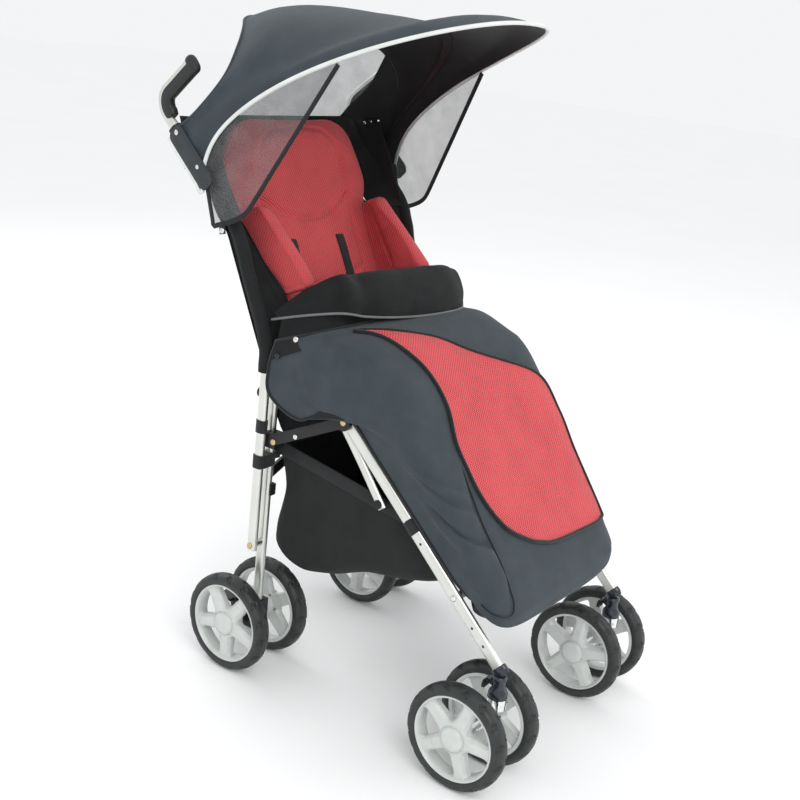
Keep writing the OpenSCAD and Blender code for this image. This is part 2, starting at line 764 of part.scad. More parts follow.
// Mesh windows that hang from the sides of the canopy's front edge, outside the push tubes
window_t = 1.5;
window_from = 48;
window_to = 87;
window_cols = 10;
window_knee_share = 0.7;
window_row_shares = [0, 0.5, 1];
window_front_lead = 115;
window_hem = 44;
module canopy_windows() {
  inset = [-canopy_t - window_t - 2 * side_gap, 0, -canopy_t - side_gap];
  function upper(t) = canopy_point(mix(window_from, window_to, t), 0) + inset;
  start = upper(0) + [0, 0, -canopy_t];
  hem_front = [canopy_half_w - tube_w, canopy_corner_y - window_front_lead, canopy_corner_z];
  hem_rear = [canopy_half_w - tube_w / 2, canopy_corner_y - window_hem, canopy_corner_z - window_drop];
  function lower(t) = t < window_knee_share ? mix(start, hem_front, t / window_knee_share)
    : mix(hem_front, hem_rear, (t - window_knee_share) / (1 - window_knee_share));
  steps = [for (k = [0 : window_cols]) k / window_cols];
  grid = [for (r = window_row_shares) [for (t = steps) mix(upper(t), lower(t), r)]];
  color("gray") on_floor() for (s = [-1, 1]) side(s) skin(grid, offset_grid(grid, window_t));
}

// Front leg: tube, pivot bore, small holes and the footrest's pin
leg_run = norm([leg_foot_lead - knuckle_lead, knuckle_z - leg_foot_z]);
leg_slope = atan2(knuckle_z - leg_foot_z, leg_foot_lead - knuckle_lead);
leg_head = 13;
hole_shares = [0.41, 0.5, 0.83, 0.9];
footrest_pin_d = 6;
footrest_x = 165;
footrest_l = 62;
lug_t = 10;
footrest_at = footrest_at_share * leg_run;
footrest_lead = knuckle_lead + footrest_at * cos(leg_slope);
footrest_z = knuckle_z - footrest_at * sin(leg_slope);
module front_leg(s) {
  color("gainsboro") on_floor() side(s) {
    translate([leg_x, -knuckle_lead, knuckle_z]) rotate([90 + leg_slope, 0, 0]) difference() {
      translate([0, 0, -leg_head]) linear_extrude(leg_run + leg_head) oval(leg_w, leg_d);
      translate([0, 0, pin_d]) linear_extrude(leg_run) oval(leg_w - 2 * tube_wall, leg_d - 2 * tube_wall);
      x_rod(pin_d + 2 * running_gap, leg_w + overrun);
      for (h = hole_shares) translate([0, 0, h * leg_run]) x_rod(hole_d, leg_w + overrun);
    }
    translate([footrest_x - lug_t / 2, -footrest_lead - lug_t / 2, footrest_z - lug_t / 2])
      cube([leg_x - leg_w / 2 - footrest_x + lug_t / 2 + tube_wall, lug_t, lug_t]);
    translate([footrest_x, -footrest_lead - footrest_l, footrest_z]) y_rod(footrest_pin_d, footrest_l);
  }
}

// Half of the footrest, which folds up at its outer edge
footrest_t = 7;
footrest_gap = 10;
barrel_d = 13;
module footrest(s) {
  l = footrest_l - lug_t / 2 - side_gap;
  color("dimgray") on_floor() side(s)
    translate([footrest_x, -footrest_lead - footrest_l, footrest_z]) difference() {
      union() {
        y_rod(barrel_d, l);
        translate([footrest_gap - footrest_x, 0, -footrest_t / 2])
          cube([footrest_x - footrest_gap, l, footrest_t]);
      }
      translate([0, -overrun, 0]) y_rod(footrest_pin_d + 2 * running_gap, l + 2 * overrun);
    }
}

// Caster head on the front leg's foot, with the web of the swivel lock
head_d = 34;
head_low_z = 166;
head_high_z = 206;
stem_d = 12;
stem_top_z = 196;
socket_w = 4;
socket_l = 44;
lock_y = 22;
lock_z = 187;
module caster_head(s) {
  color("dimgray") on_floor() side(s) translate([leg_x, -leg_foot_lead, 0]) {
    difference() {
      union() {
        translate([0, 0, head_low_z]) cylinder(d = head_d, h = head_high_z - head_low_z);
        translate([0, 0, leg_foot_z]) rotate([90 + leg_slope, 0, 0]) translate([0, 0, -socket_l])
          linear_extrude(socket_l + socket_w) oval(leg_w + 2 * socket_w, leg_d + 2 * socket_w);
      }
      translate([0, 0, leg_foot_z]) rotate([90 + leg_slope, 0, 0]) translate([0, 0, -leg_run])
        linear_extrude(leg_run) oval(leg_w, leg_d);
      translate([0, 0, head_low_z - overrun])
        cylinder(d = stem_d + 2 * running_gap, h = stem_top_z - head_low_z + overrun);
    }
    translate([0, lock_y, lock_z]) hinge_web(lock_y - stem_d);
  }
}

// Lever that locks the swivel
lock_l = 9;
lock_t = 5;
module swivel_lock(s) {
  color("dimgray") on_floor() side(s) translate([leg_x, lock_y - leg_foot_lead, lock_z]) {
    hinge_rings();
    translate([-lever_w / 2, (tiny_pin_d - lock_t) / 2 + overrun, -lock_l - tiny_pin_d / 2])
      cube([lever_w, lock_t, lock_l]);
  }
}

// Fork of a front pair: stem, crown, leg and axle
crown_low_z = 146;
fork_w = 26;
fork_r = 15;
module caster_fork(s) {
  boss_l = front_pair - hub_w - 2 * side_gap;
  crown_h = head_low_z - side_gap - crown_low_z;
  color("silver") on_floor() side(s) translate([leg_x, -leg_foot_lead, 0]) {
    translate([0, 0, crown_low_z]) cylinder(d = stem_d, h = stem_top_z - side_gap - crown_low_z);
    translate([0, 0, crown_low_z]) cylinder(d = head_d, h = crown_h);
    across(-fork_w / 2, fork_w / 2) {
      polygon([[-fork_r, crown_low_z + crown_h / 2], [fork_r, crown_low_z + crown_h / 2],
        [caster_trail + fork_r, wheel_r], [caster_trail - fork_r, wheel_r]]);
      translate([caster_trail, wheel_r]) circle(r = fork_r);
    }
    translate([0, caster_trail, wheel_r]) {
      x_rod(2 * fork_r, boss_l);
      x_rod(axle_d, front_pair + hub_w);
    }
  }
}

// Wheels
module tyre_profile() {
  shoulder_x = wheel_r - tyre_shoulder_r;
  half = tyre_w / 2 - tyre_shoulder_r;
  translate([rim_r, -tyre_w / 2]) square([shoulder_x - rim_r, tyre_w]);
  translate([rim_r, -half]) square([tyre_h, 2 * half]);
  for (end = [-1, 1]) translate([shoulder_x, end * half]) circle(r = tyre_shoulder_r);
}
module tyre() {
  color("dimgray") rotate([0, 90, 0]) rotate_extrude($fn = 96) intersection() {
    tyre_profile();
    translate([rim_r, -tyre_w / 2]) square([tyre_h, tyre_w]);
  }
}
spoke_taper_share = 0.76;
module rim() {
  inner = rim_r - rim_wall;
  reach = inner + rim_wall / 2;
  tip = spoke_taper_share * spoke_w / 2;
  color("gainsboro") rotate([0, 90, 0]) difference() {
    union() {
      rotate_extrude($fn = 96) translate([inner, -rim_w / 2]) square([rim_wall, rim_w]);
      cylinder(d = hub_d, h = hub_w, center = true);
      linear_extrude(spoke_t, center = true)
        for (k = [0 : spoke_count - 1]) rotate((k + 1 / 2) * 360 / spoke_count)
          polygon([[0, -spoke_w / 2], [0, spoke_w / 2], [reach, tip], [reach, -tip]]);
    }
    cylinder(d = axle_d + 2 * running_gap, h = hub_w + overrun, center = true);
  }
}
// Places a wheel: s is its side, pair is 1 for the outer wheel and -1 for the inner one
module rear_wheel(s, pair) {
  on_floor() side(s) translate([half_rear + pair * rear_pair / 2, 0, wheel_r]) children();
}
module front_wheel(s, pair) {
  on_floor() side(s) translate([leg_x + pair * front_pair / 2, -wheelbase, wheel_r]) children();
}

// Leg cover: a fan of U-shaped sections, from the lap to the feet. Each station has its rear
// point and front point as shares of the reach and drop from the front leg's pivot.
cover_rear_shares = [[-0.418, 0.404], [-0.449, 0.224], [-0.429, 0.043], [-0.305, -0.04], [-0.139, -0.036],
  [0.028, 0.083], [0.194, -0.101], [0.388, -0.329], [0.568, -0.542], [0.712, -0.726], [0.784, -0.812],
  [0.79, -0.834]];
cover_front_shares = [[-0.166, 0.531], [0.028, 0.531], [0.208, 0.404], [0.374, 0.206], [0.526, -0.04],
  [0.651, -0.264], [0.762, -0.444], [0.867, -0.625], [0.956, -0.787], [1, -0.931], [0.97, -1],
  [0.823, -0.978]];
cover_width_shares = [0.992, 1, 1, 0.992, 0.975, 0.95, 0.924, 0.899, 0.874, 0.853, 0.824, 0.798];
cover_power_share = 0.45;
cover_bulge_shares = [[0.5, 0], [2, 0.11], [8, 0.11], [9.5, 0]];
cover_cols = 12;
cover_reach = leg_foot_lead - knuckle_lead - cover_setback;
cover_drop = knuckle_z - leg_foot_z - cover_lift;
function cover_place(share) = [-knuckle_lead - share[0] * cover_reach, knuckle_z + share[1] * cover_drop];
function cover_point(k, a) =
  let (
    rear = cover_place(cover_rear_shares[k]),
    front = cover_place(cover_front_shares[k]),
    full = 1 + lookup(k, cover_bulge_shares) * pow(sin(2 * a), 2),
    p = rear + (front - rear) * full * pow(cos(a), cover_power_share),
    x = cover_half_w * cover_width_shares[k] * full * sign(a) * pow(abs(sin(a)), cover_power_share)
  ) [x, p[0], p[1]];
// Angle of a column, so that the columns are even across the front and along the sides
cover_corner_share = pow(sin(45), cover_power_share);
function even_angle(share) = asin(pow(2 * share * cover_corner_share, 1 / cover_power_share));
function cover_angle(t) = sign(t) * (abs(t) < 1 / 2 ? even_angle(abs(t)) : 90 - even_angle(1 - abs(t)));
cover_grid = [for (k = [0 : len(cover_rear_shares) - 1])
  [for (c = [-cover_cols : cover_cols]) cover_point(k, cover_angle(c / cover_cols))]];
// The cover hangs on two loops that rest on the front legs
loop_at_share = 0.335;
loop_w = 10;
loop_l = 20;
loop_h = 19;
loop_gap = 0.3;
module footmuff_shell() {
  color("slategray") on_floor() {
    skin(cover_grid, offset_grid(cover_grid, -cover_t));
    for (s = [-1, 1]) side(s) translate([leg_x + overrun, -knuckle_lead, knuckle_z])
      rotate([90 + leg_slope, 0, 0])
        translate([-loop_w / 2, leg_d / 2 + loop_gap, loop_at_share * leg_run - loop_l / 2])
          cube([loop_w, loop_h, loop_l]);
  }
}

// Mesh panel sewn on the front of the leg cover: a sweep from the lap to the far side. Its two
// borders are given by station, as shares of the cover's columns from the middle.
panel_left_shares = [[0.5, -0.43], [1, -0.37], [1.5, -0.315], [2, -0.285], [3, -0.28], [4, -0.33], [5, -0.31],
  [6, -0.285], [6.5, -0.2], [7, -0.055], [7.5, 0.33]];
panel_right_shares = [[0.5, -0.39], [1, -0.25], [1.5, -0.06], [2, 0.045], [3, 0.42], [4, 0.49], [5, 0.5],
  [7, 0.5], [7.5, 0.48]];
panel_cols = 24;
panel_seam_cols = 8;
panel_seam_gap = 0.9;
panel_first_row = 0.5;
panel_row_step = 0.5;
panel_last_row = 7.5;
panel_gap = 2.5;
// Point on a skin's own triangles, at a fractional row and column
function grid_at(g, i, j) =
  let (
    i0 = min(floor(i), len(g) - 2),
    j0 = min(floor(j), len(g[0]) - 2),
    di = i - i0,
    dj = j - j0,
    a = g[i0][j0],
    c = g[i0 + 1][j0 + 1],
    b = dj > di ? g[i0][j0 + 1] : g[i0 + 1][j0]
  ) dj > di ? a + dj * (b - a) + di * (c - b) : a + di * (b - a) + dj * (c - b);
module footmuff_panel() {
  function border(k, u) = mix(lookup(k, panel_left_shares), lookup(k, panel_right_shares), u);
  function column(k, u) = cover_cols * (1 + border(k, u));
  stations = [panel_first_row : panel_row_step : panel_last_row];
  patch = [for (k = stations) [for (c = [0 : panel_cols]) grid_at(cover_grid, k, column(k, c / panel_cols))]];
  function lift(c) = mix(panel_seam_gap, panel_gap, min(1, c / panel_seam_cols));
  function raised(t) = [for (i = [0 : len(patch) - 1]) [for (c = [0 : panel_cols])
    patch[i][c] + (lift(c) + t) * grid_normal(patch, i, c)]];
  color("indianred") on_floor() skin(raised(0), raised(panel_t));
}

// Lap flap folded over the top edge of the leg cover, sloping up towards the lap
flap_half_share = 0.87;
flap_steps = 10;
flap_back = 40;
flap_h = 50;
flap_fall_share = 0.75;
flap_edge_t = 3;
flap_rows = 6;
module footmuff_flap() {
  half = cover_half_w * flap_half_share;
  rear = cover_place(cover_rear_shares[0]);
  front = cover_place(cover_front_shares[0]);
  top_half = cover_half_w * cover_width_shares[0];
  outward = [0, -flap_h, flap_back] / norm([flap_h, flap_back]);
  function edge(x) = rear + (front - rear) *
    pow(1 - pow(abs(x) / top_half, 2 / cover_power_share), cover_power_share / 2);
  function base(u, v) =
    let (p = edge(half * u) + [flap_back * v, soft_gap + flap_h * v * (1 - flap_fall_share * pow(u, 6))])
    [half * u, p[0], p[1]];
  function bulge(u, v) = flap_t * sqrt((1 - pow(u, 6)) * (1 - pow(2 * v - 1, 4)));
  steps = [for (k = [-flap_steps : flap_steps]) k / flap_steps];
  rows = [for (k = [0 : flap_rows]) k / flap_rows];
  low = [for (v = rows) [for (u = steps) base(u, v)]];
  high = [for (v = rows) [for (u = steps) base(u, v) + outward * (flap_edge_t + bulge(u, v))]];
  color("dimgray") on_floor() skin(high, low);
}

brace_pivot();
brace_bar_front();
brace_bar_rear();
slider(1);  // slider_left
slider(-1);  // slider_right
push_tube(1);  // push_tube_left
push_tube(-1);  // push_tube_right
handle_grip(1);  // handle_grip_left
handle_grip(-1);  // handle_grip_right
rear_leg(1);  // rear_leg_left
rear_leg(-1);  // rear_leg_right
seat_rail(1);  // seat_rail_left
seat_rail(-1);  // seat_rail_right
rear_housing(1);  // rear_housing_left
rear_housing(-1);  // rear_housing_right
canopy_clamp(1);  // canopy_clamp_left
canopy_clamp(-1);  // canopy_clamp_right
tube_sleeve(1);  // tube_sleeve_left
tube_sleeve(-1);  // tube_sleeve_right
seat_sling();
seat_cushion();
back_cushion();
head_cushion();
side_bolsters();
harness();
basket();
canopy_shell();
canopy_bow();
canopy_windows();
front_leg(1);  // front_leg_left
front_leg(-1);  // front_leg_right
caster_head(1);  // caster_head_left
caster_head(-1);  // caster_head_right
footmuff_shell();
footmuff_panel();
footmuff_flap();
footrest(1);  // footrest_left
footrest(-1);  // footrest_right
caster_fork(1);  // caster_fork_left
caster_fork(-1);  // caster_fork_right
swivel_lock(1);  // swivel_lock_left
swivel_lock(-1);  // swivel_lock_right
brake_pedal(1);  // brake_pedal_left
brake_pedal(-1);  // brake_pedal_right
rear_wheel(1, 1) tyre();  // rear_left_outer_tyre
rear_wheel(1, 1) rim();  // rear_left_outer_rim
rear_wheel(1, -1) tyre();  // rear_left_inner_tyre
rear_wheel(1, -1) rim();  // rear_left_inner_rim
rear_wheel(-1, 1) tyre();  // rear_right_outer_tyre
rear_wheel(-1, 1) rim();  // rear_right_outer_rim
rear_wheel(-1, -1) tyre();  // rear_right_inner_tyre
rear_wheel(-1, -1) rim();  // rear_right_inner_rim
front_wheel(1, 1) tyre();  // front_left_outer_tyre
front_wheel(1, 1) rim();  // front_left_outer_rim
front_wheel(1, -1) tyre();  // front_left_inner_tyre
front_wheel(1, -1) rim();  // front_left_inner_rim
front_wheel(-1, 1) tyre();  // front_right_outer_tyre
front_wheel(-1, 1) rim();  // front_right_outer_rim
front_wheel(-1, -1) tyre();  // front_right_inner_tyre
front_wheel(-1, -1) rim();  // front_right_inner_rim
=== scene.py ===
import math
import bpy
import numpy as np
from mathutils import Matrix, Vector


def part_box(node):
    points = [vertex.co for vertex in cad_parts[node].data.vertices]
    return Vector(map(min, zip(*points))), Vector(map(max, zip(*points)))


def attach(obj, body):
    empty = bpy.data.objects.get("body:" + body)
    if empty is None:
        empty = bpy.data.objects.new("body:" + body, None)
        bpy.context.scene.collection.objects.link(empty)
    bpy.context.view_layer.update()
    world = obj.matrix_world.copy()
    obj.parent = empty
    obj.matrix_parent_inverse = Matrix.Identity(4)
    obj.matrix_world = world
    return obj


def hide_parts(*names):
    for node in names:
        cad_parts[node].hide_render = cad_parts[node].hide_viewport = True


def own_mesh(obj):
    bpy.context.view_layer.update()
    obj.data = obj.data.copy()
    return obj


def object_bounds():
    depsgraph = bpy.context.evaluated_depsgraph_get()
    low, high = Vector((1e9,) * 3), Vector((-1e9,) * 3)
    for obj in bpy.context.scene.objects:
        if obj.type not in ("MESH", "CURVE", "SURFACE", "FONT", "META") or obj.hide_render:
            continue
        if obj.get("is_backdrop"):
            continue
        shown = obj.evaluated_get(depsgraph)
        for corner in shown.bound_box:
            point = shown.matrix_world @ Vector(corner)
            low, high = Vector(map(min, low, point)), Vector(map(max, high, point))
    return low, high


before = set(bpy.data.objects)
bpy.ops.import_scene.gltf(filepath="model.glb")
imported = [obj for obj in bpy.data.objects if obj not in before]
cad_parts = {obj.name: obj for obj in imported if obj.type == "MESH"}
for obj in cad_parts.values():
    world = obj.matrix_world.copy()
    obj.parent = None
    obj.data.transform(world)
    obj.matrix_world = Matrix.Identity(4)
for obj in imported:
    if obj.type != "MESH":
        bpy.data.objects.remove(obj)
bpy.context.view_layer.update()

# Places are in millimetres, with y from the rear axle, as in the part's source
MM = 0.001
rear_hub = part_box("rear_left_outer_rim")
AXLE_Y = (rear_hub[0].y + rear_hub[1].y) / 2
TURN = 2 * math.pi
SIDES = (("left", 1), ("right", -1))
X_UP, Y_UP, Z_UP = (1, 0, 0), (0, 1, 0), (0, 0, 1)

# Soft pieces: the body that they ride on, and their half width in metres
CANOPY = ("canopy", 0.28)
SEAT = ("left_side", 0.195)
COVER = ("left_front_leg", 0.24)
BASKET_FRONT = ("left_front_leg", 0.195)


def row(points):
    """Millimetres from the rear axle to metres in the row frame."""
    moved = np.array(points, float) * MM
    moved[..., 1] += AXLE_Y
    return moved


def unit(vectors):
    return vectors / np.maximum(np.linalg.norm(vectors, axis=-1, keepdims=True), 1e-12)


def smooth(x, low, high):
    t = np.clip((np.asarray(x, float) - low) / (high - low), 0, 1)
    return t * t * (3 - 2 * t)


def bell(x, width):
    return np.exp(-(x / width) ** 2)


def arch(t):
    """Half a wave, from nothing at 0 to nothing at 1."""
    return np.sin(np.pi * t)


def mirrored(points, s):
    return np.asarray(points, float) * [s, 1, 1]


def join(x, yz):
    """Points from their x and their (y, z) pairs."""
    return np.concatenate([np.broadcast_to(x, yz.shape[:-1])[..., None], yz], -1)


def mix(a, b, share):
    """Points at a share of the way from a to b."""
    return a + (b - a) * np.asarray(share)[..., None]


def loft(first, last, shares):
    """Grid of points from one line to another."""
    return mix(first[None], last[None], shares[:, None])


def run_of(path):
    """Length along a path, at each of its points."""
    return np.r_[0, np.cumsum(np.linalg.norm(np.diff(path, axis=0), axis=1))]


def apart(path, gap):
    """A path without the points that are closer than gap to the one before."""
    return path[np.r_[True, np.linalg.norm(np.diff(path, axis=0), axis=1) > gap]]


def ease(line, turns):
    """Rounds off the bends of a line, with its ends held."""
    for turn in range(turns):
        line[1:-1] = (line[:-2] + 2 * line[1:-1] + line[2:]) / 4
    return line


def spline(keys, values, at):
    """Smooth curve through values at keys, held beyond its ends."""
    keys, values, at = np.asarray(keys, float), np.asarray(values, float), np.asarray(at, float)
    slopes = np.gradient(values, keys, axis=0)
    i = np.clip(np.searchsorted(keys, at, side="right") - 1, 0, len(keys) - 2)
    step = keys[i + 1] - keys[i]
    t = np.clip((at - keys[i]) / step, 0, 1)
    if values.ndim > 1:
        t, step = t[..., None], step[..., None]
    return ((1 + 2 * t) * (1 - t) ** 2 * values[i] + t * (1 - t) ** 2 * step * slopes[i]
            + t * t * (3 - 2 * t) * values[i + 1] - t * t * (1 - t) * step * slopes[i + 1])


def along(path, count):
    """Evenly spaced points on a smooth curve through a few points."""
    path = np.asarray(path, float)
    keys = run_of(path)
    fine = spline(keys, path, np.linspace(0, keys[-1], 12 * len(path)))
    run = run_of(fine)
    even = np.linspace(0, run[-1], count)
    return np.stack([np.interp(even, run, fine[:, k]) for k in range(path.shape[1])], -1)


# Patches of mesh: points, faces, one UV pair for each face corner, and material numbers
def patch(points, faces, corners, mat=0):
    return dict(v=np.reshape(points, (-1, 3)), f=faces, uv=corners, m=[mat] * len(faces))


def normals(g):
    return unit(np.cross(np.gradient(g, axis=0), np.gradient(g, axis=1)))


def arc_uv(g):
    """Lengths along rows and columns, so that a weave keeps its size on a curved sheet."""
    u = np.cumsum(np.linalg.norm(np.diff(g, axis=1, prepend=g[:, :1]), axis=-1), 1)
    v = np.cumsum(np.linalg.norm(np.diff(g, axis=0, prepend=g[:1]), axis=-1), 0)
    return np.stack([u - u[:, u.shape[1] // 2:u.shape[1] // 2 + 1], v], -1)


def quads(rows, cols, uv, flip=False, wrap=False, start=0):
    """Faces of a grid, whose columns close on each other with wrap, and the UV pairs of their corners."""
    number = start + np.arange(rows * cols).reshape(rows, cols)
    if wrap:
        number = np.c_[number, number[:, 0]]

    def cells(a):
        four = [a[:-1, :-1], a[:-1, 1:], a[1:, 1:], a[1:, :-1]]
        return np.stack(four[::-1] if flip else four, 2)

    return cells(number).reshape(-1, 4).tolist(), cells(uv).reshape(-1, 2).tolist()


def grid(points, flip=False):
    g = row(points)
    return patch(g, *quads(*g.shape[:2], arc_uv(g), flip))


def shell(points, thick, uv=None, flip=False, inner=0):
    """Closed thin sheet below a grid, which is its outer side. inner is the lower side's material."""
    g = row(points)
    rows, cols = g.shape[:2]
    count = rows * cols
    uv = arc_uv(g) if uv is None else uv * MM
    low = g + normals(g) * (-thick if flip else thick) * MM
    top, top_uv = quads(rows, cols, uv, flip)
    under, under_uv = quads(rows, cols, uv, not flip, start=count)
    rim = [(0, j) for j in range(cols)] + [(i, cols - 1) for i in range(1, rows)]
    rim += [(rows - 1, j) for j in range(cols - 2, -1, -1)] + [(i, 0) for i in range(rows - 2, 0, -1)]
    edge, edge_uv = [], []
    for a, b in zip(rim, rim[1:] + rim[:1]):
        pair = [b[0] * cols + b[1], a[0] * cols + a[1]]
        face = pair + [pair[1] + count, pair[0] + count]
        edge.append(face[::-1] if flip else face)
        edge_uv += [uv[a]] * 4
    sheet = patch(np.stack([g, low]), top + under + edge, top_uv + under_uv + edge_uv)
    return dict(sheet, m=[0] * len(top) + [inner] * len(under) + [0] * len(edge))


def cut(points):
    """Flat size and area, in metres, of the cloth that a grid of points is made of."""
    g = row(points)
    wide = np.linalg.norm(np.diff(g, axis=1), axis=-1).sum(1).max()
    long = np.linalg.norm(np.diff(g, axis=0), axis=-1).sum(0).max()
    first = np.cross(g[1:, :-1] - g[:-1, :-1], g[:-1, 1:] - g[:-1, :-1])
    second = np.cross(g[1:, :-1] - g[1:, 1:], g[:-1, 1:] - g[1:, 1:])
    area = (np.linalg.norm(first, axis=-1).sum() + np.linalg.norm(second, axis=-1).sum()) / 2
    return dict(flat=(float(wide), float(long)), area=float(area))


def frames(path, closed, up=None):
    """Two directions across a path at each of its points."""
    ahead = unit(np.roll(path, -1, 0) - np.roll(path, 1, 0) if closed else np.gradient(path, axis=0))
    if up is not None:
        side = unit(np.cross(np.broadcast_to(up, path.shape), ahead))
    else:
        side = np.zeros_like(path)
        first = np.cross(ahead[0], Z_UP)
        if np.linalg.norm(first) < 0.1:
            first = np.cross(ahead[0], Y_UP)
        side[0] = unit(first)
        for i in range(1, len(path)):
            side[i] = unit(side[i - 1] - ahead[i] * (side[i - 1] @ ahead[i]))
    return side, np.cross(ahead, side)


def sweep(path, outline, closed=False, up=None, scale=1.0):
    """Closed outline of (side, up) pairs carried along a path, with capped ends."""
    path, outline = row(path), np.asarray(outline, float) * MM
    side, top = frames(path, closed, up)
    size = np.broadcast_to(scale, len(path))[:, None, None]
    g = path[:, None] + size * (outline[None, :, :1] * side[:, None] + outline[None, :, 1:] * top[:, None])
    if closed:
        g = np.concatenate([g, g[:1]])
    rows, cols = g.shape[:2]
    ring = run_of(np.r_[outline, outline[:1]])
    uv = np.stack(np.meshgrid(run_of(g[:, 0]), ring, indexing="ij"), -1)
    faces, corners = quads(rows, cols, uv, wrap=True)
    if closed:
        return patch(g[:-1], [[k % ((rows - 1) * cols) for k in f] for f in faces], corners)
    for end, order in ((0, 1), ((rows - 1) * cols, -1)):
        faces.append([end + k for k in range(cols)][::order])
        corners += list(outline)[::order]
    return patch(g, faces, corners)


def oval(half_w, half_h, sides, power=1.0):
    """Outline of an ellipse, or of a rounded box where the power is below 1."""
    a = np.arange(sides) * TURN / sides
    c, s = np.cos(a), np.sin(a)
    return np.stack([half_w * np.sign(c) * np.abs(c) ** power, half_h * np.sign(s) * np.abs(s) ** power], -1)


def tube(path, radius, closed=False):
    return sweep(path, oval(radius, radius, 8), closed)


def ribbon(path, width, thick, up):
    """Flat strap with rounded edges."""
    w, t = width / 2, thick / 2
    outline = [(w, 0), (w - t * 0.4, t * 0.8), (w - t, t), (0, t), (t - w, t), (t * 0.4 - w, t * 0.8),
               (-w, 0), (t * 0.4 - w, -t * 0.8), (t - w, -t), (0, -t), (w - t, -t), (w - t * 0.4, -t * 0.8)]
    return sweep(path, outline, up=up)


def lathe(profile, centre, axis, sides=24, mat=0, capped=True):
    """Turned form from (radius, height) pairs round an axis. The centre is in metres."""
    profile = np.asarray(profile, float) * MM
    axis = unit(np.asarray(axis, float))
    side = unit(np.cross(axis, [0.3, 0.5, 0.81]))
    a = np.arange(sides) * TURN / sides
    ring = np.cos(a)[:, None] * side + np.sin(a)[:, None] * np.cross(axis, side)
    g = np.asarray(centre) + profile[:, :1, None] * ring + profile[:, 1:, None] * axis
    girth = np.arange(sides + 1) * profile[:, 0].max() * TURN / sides
    uv = np.stack(np.meshgrid(run_of(profile), girth, indexing="ij"), -1)
    faces, corners = quads(len(profile), sides, uv, True, True)
    for end, order in ((0, 1), ((len(profile) - 1) * sides, -1)) if capped else ():
        faces.append([end + k for k in range(sides)][::order])
        corners += [(0, 0)] * sides
    return patch(g, faces, corners, mat)


def stud(place, axis, radius, height, mat=0):
    """Domed head of a rivet, screw or snap."""
    profile = [(0.9, -0.6), (1, 0), (1, 0.25), (0.86, 0.7), (0.55, 0.95), (0.02, 1)]
    return lathe(np.array(profile) * [radius, height], row(place), axis, mat=mat)


def settle(obj, where):
    """Lets a piece ride on a body, and gives it a mesh of its own where a half width is given."""
    body, half = where if isinstance(where, tuple) else (where, None)
    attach(obj, body)
    if half:
        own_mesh(obj)


def piece(name, patches, mats, where=None, replaces=(), soft_edges=True):
    """One object from patches, with its materials."""
    mats = mats if isinstance(mats, list) else [mats]
    verts, faces, uvs, numbers = [], [], [], []
    start = 0
    for p in patches:
        verts.append(p["v"])
        faces += [[k + start for k in f] for f in p["f"]]
        uvs += [tuple(pair) for pair in p["uv"]]
        numbers += p["m"]
        start += len(p["v"])
    mesh = bpy.data.meshes.new(name)
    mesh.from_pydata(np.concatenate(verts).tolist(), [], faces)
    layer = mesh.uv_layers.new(name="UVMap")
    layer.data.foreach_set("uv", np.array(uvs, np.float32).ravel())
    for m in mats:
        mesh.materials.append(m)
    mesh.polygons.foreach_set("material_index", np.array(numbers, np.int32))
    mesh.polygons.foreach_set("use_smooth", np.ones(len(faces), bool))
    if soft_edges:
        mesh.set_sharp_from_angle(angle=math.radians(50))
    mesh.validate()
    mesh.update()
    obj = bpy.data.objects.new(name, mesh)
    bpy.context.scene.collection.objects.link(obj)
    if replaces:
        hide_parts(*replaces)
    if where:
        settle(obj, where)
    return obj


def cloth(name, points, thick, mats, where, held, rests_on, replaces=(), **form):
    """One sheet of fabric, or of open net where it has no thickness."""
    sheet = shell(points, thick, **form) if thick else grid(points, **form)
    obj = piece(name, [sheet], mats, where, replaces)
    cut(points)


def move_points(obj, points):
    obj.data.vertices.foreach_set("co", points.astype(np.float32).ravel())
    obj.data.update()


def points_of(mesh):
    return np.array([v.co for v in mesh.vertices], float)


def puff(obj, pressure, cap, steps=18):
    """Blows a closed pad up like a stuffed cover, and lets no point move further than cap."""
    rest = points_of(obj.data)
    mod = obj.modifiers.new("stuffing", "CLOTH")
    settings = mod.settings
    settings.quality = 5
    settings.mass = 0.3
    settings.tension_stiffness = 25
    settings.compression_stiffness = 25
    settings.bending_stiffness = 2
    settings.use_pressure = True
    settings.uniform_pressure_force = pressure
    settings.effector_weights.gravity = 0
    mod.collision_settings.use_collision = False
    mod.point_cache.frame_start = 1
    mod.point_cache.frame_end = steps
    scene = bpy.context.scene
    for step in range(1, steps + 1):
        scene.frame_set(step)
    shift = points_of(obj.evaluated_get(bpy.context.evaluated_depsgraph_get()).data) - rest
    obj.modifiers.remove(mod)
    scene.frame_set(1)
    far = np.linalg.norm(shift, axis=1, keepdims=True)
    move_points(obj, rest + shift * np.minimum(1, cap * MM / np.maximum(far, 1e-9)))


def stuffed(name, top, low, mats, where, fill, pressure, cap, replaces=(), uv=None, turn=False, seams=None):
    """A padded piece. seams says how far sewn seams pull the points of its upper side in."""
    obj = piece(name, [closed_pad(top, low, uv, turn)], mats, None, replaces, False)
    puff(obj, pressure, cap)
    if seams is not None:
        points = points_of(obj.data)
        points[:seams[..., 0].size, 1:] -= seams.reshape(-1, 2) * MM
        move_points(obj, points)
    fine = obj.modifiers.new("fine", "SUBSURF")
    fine.levels = 1
    fine.render_levels = 1
    settle(obj, where)


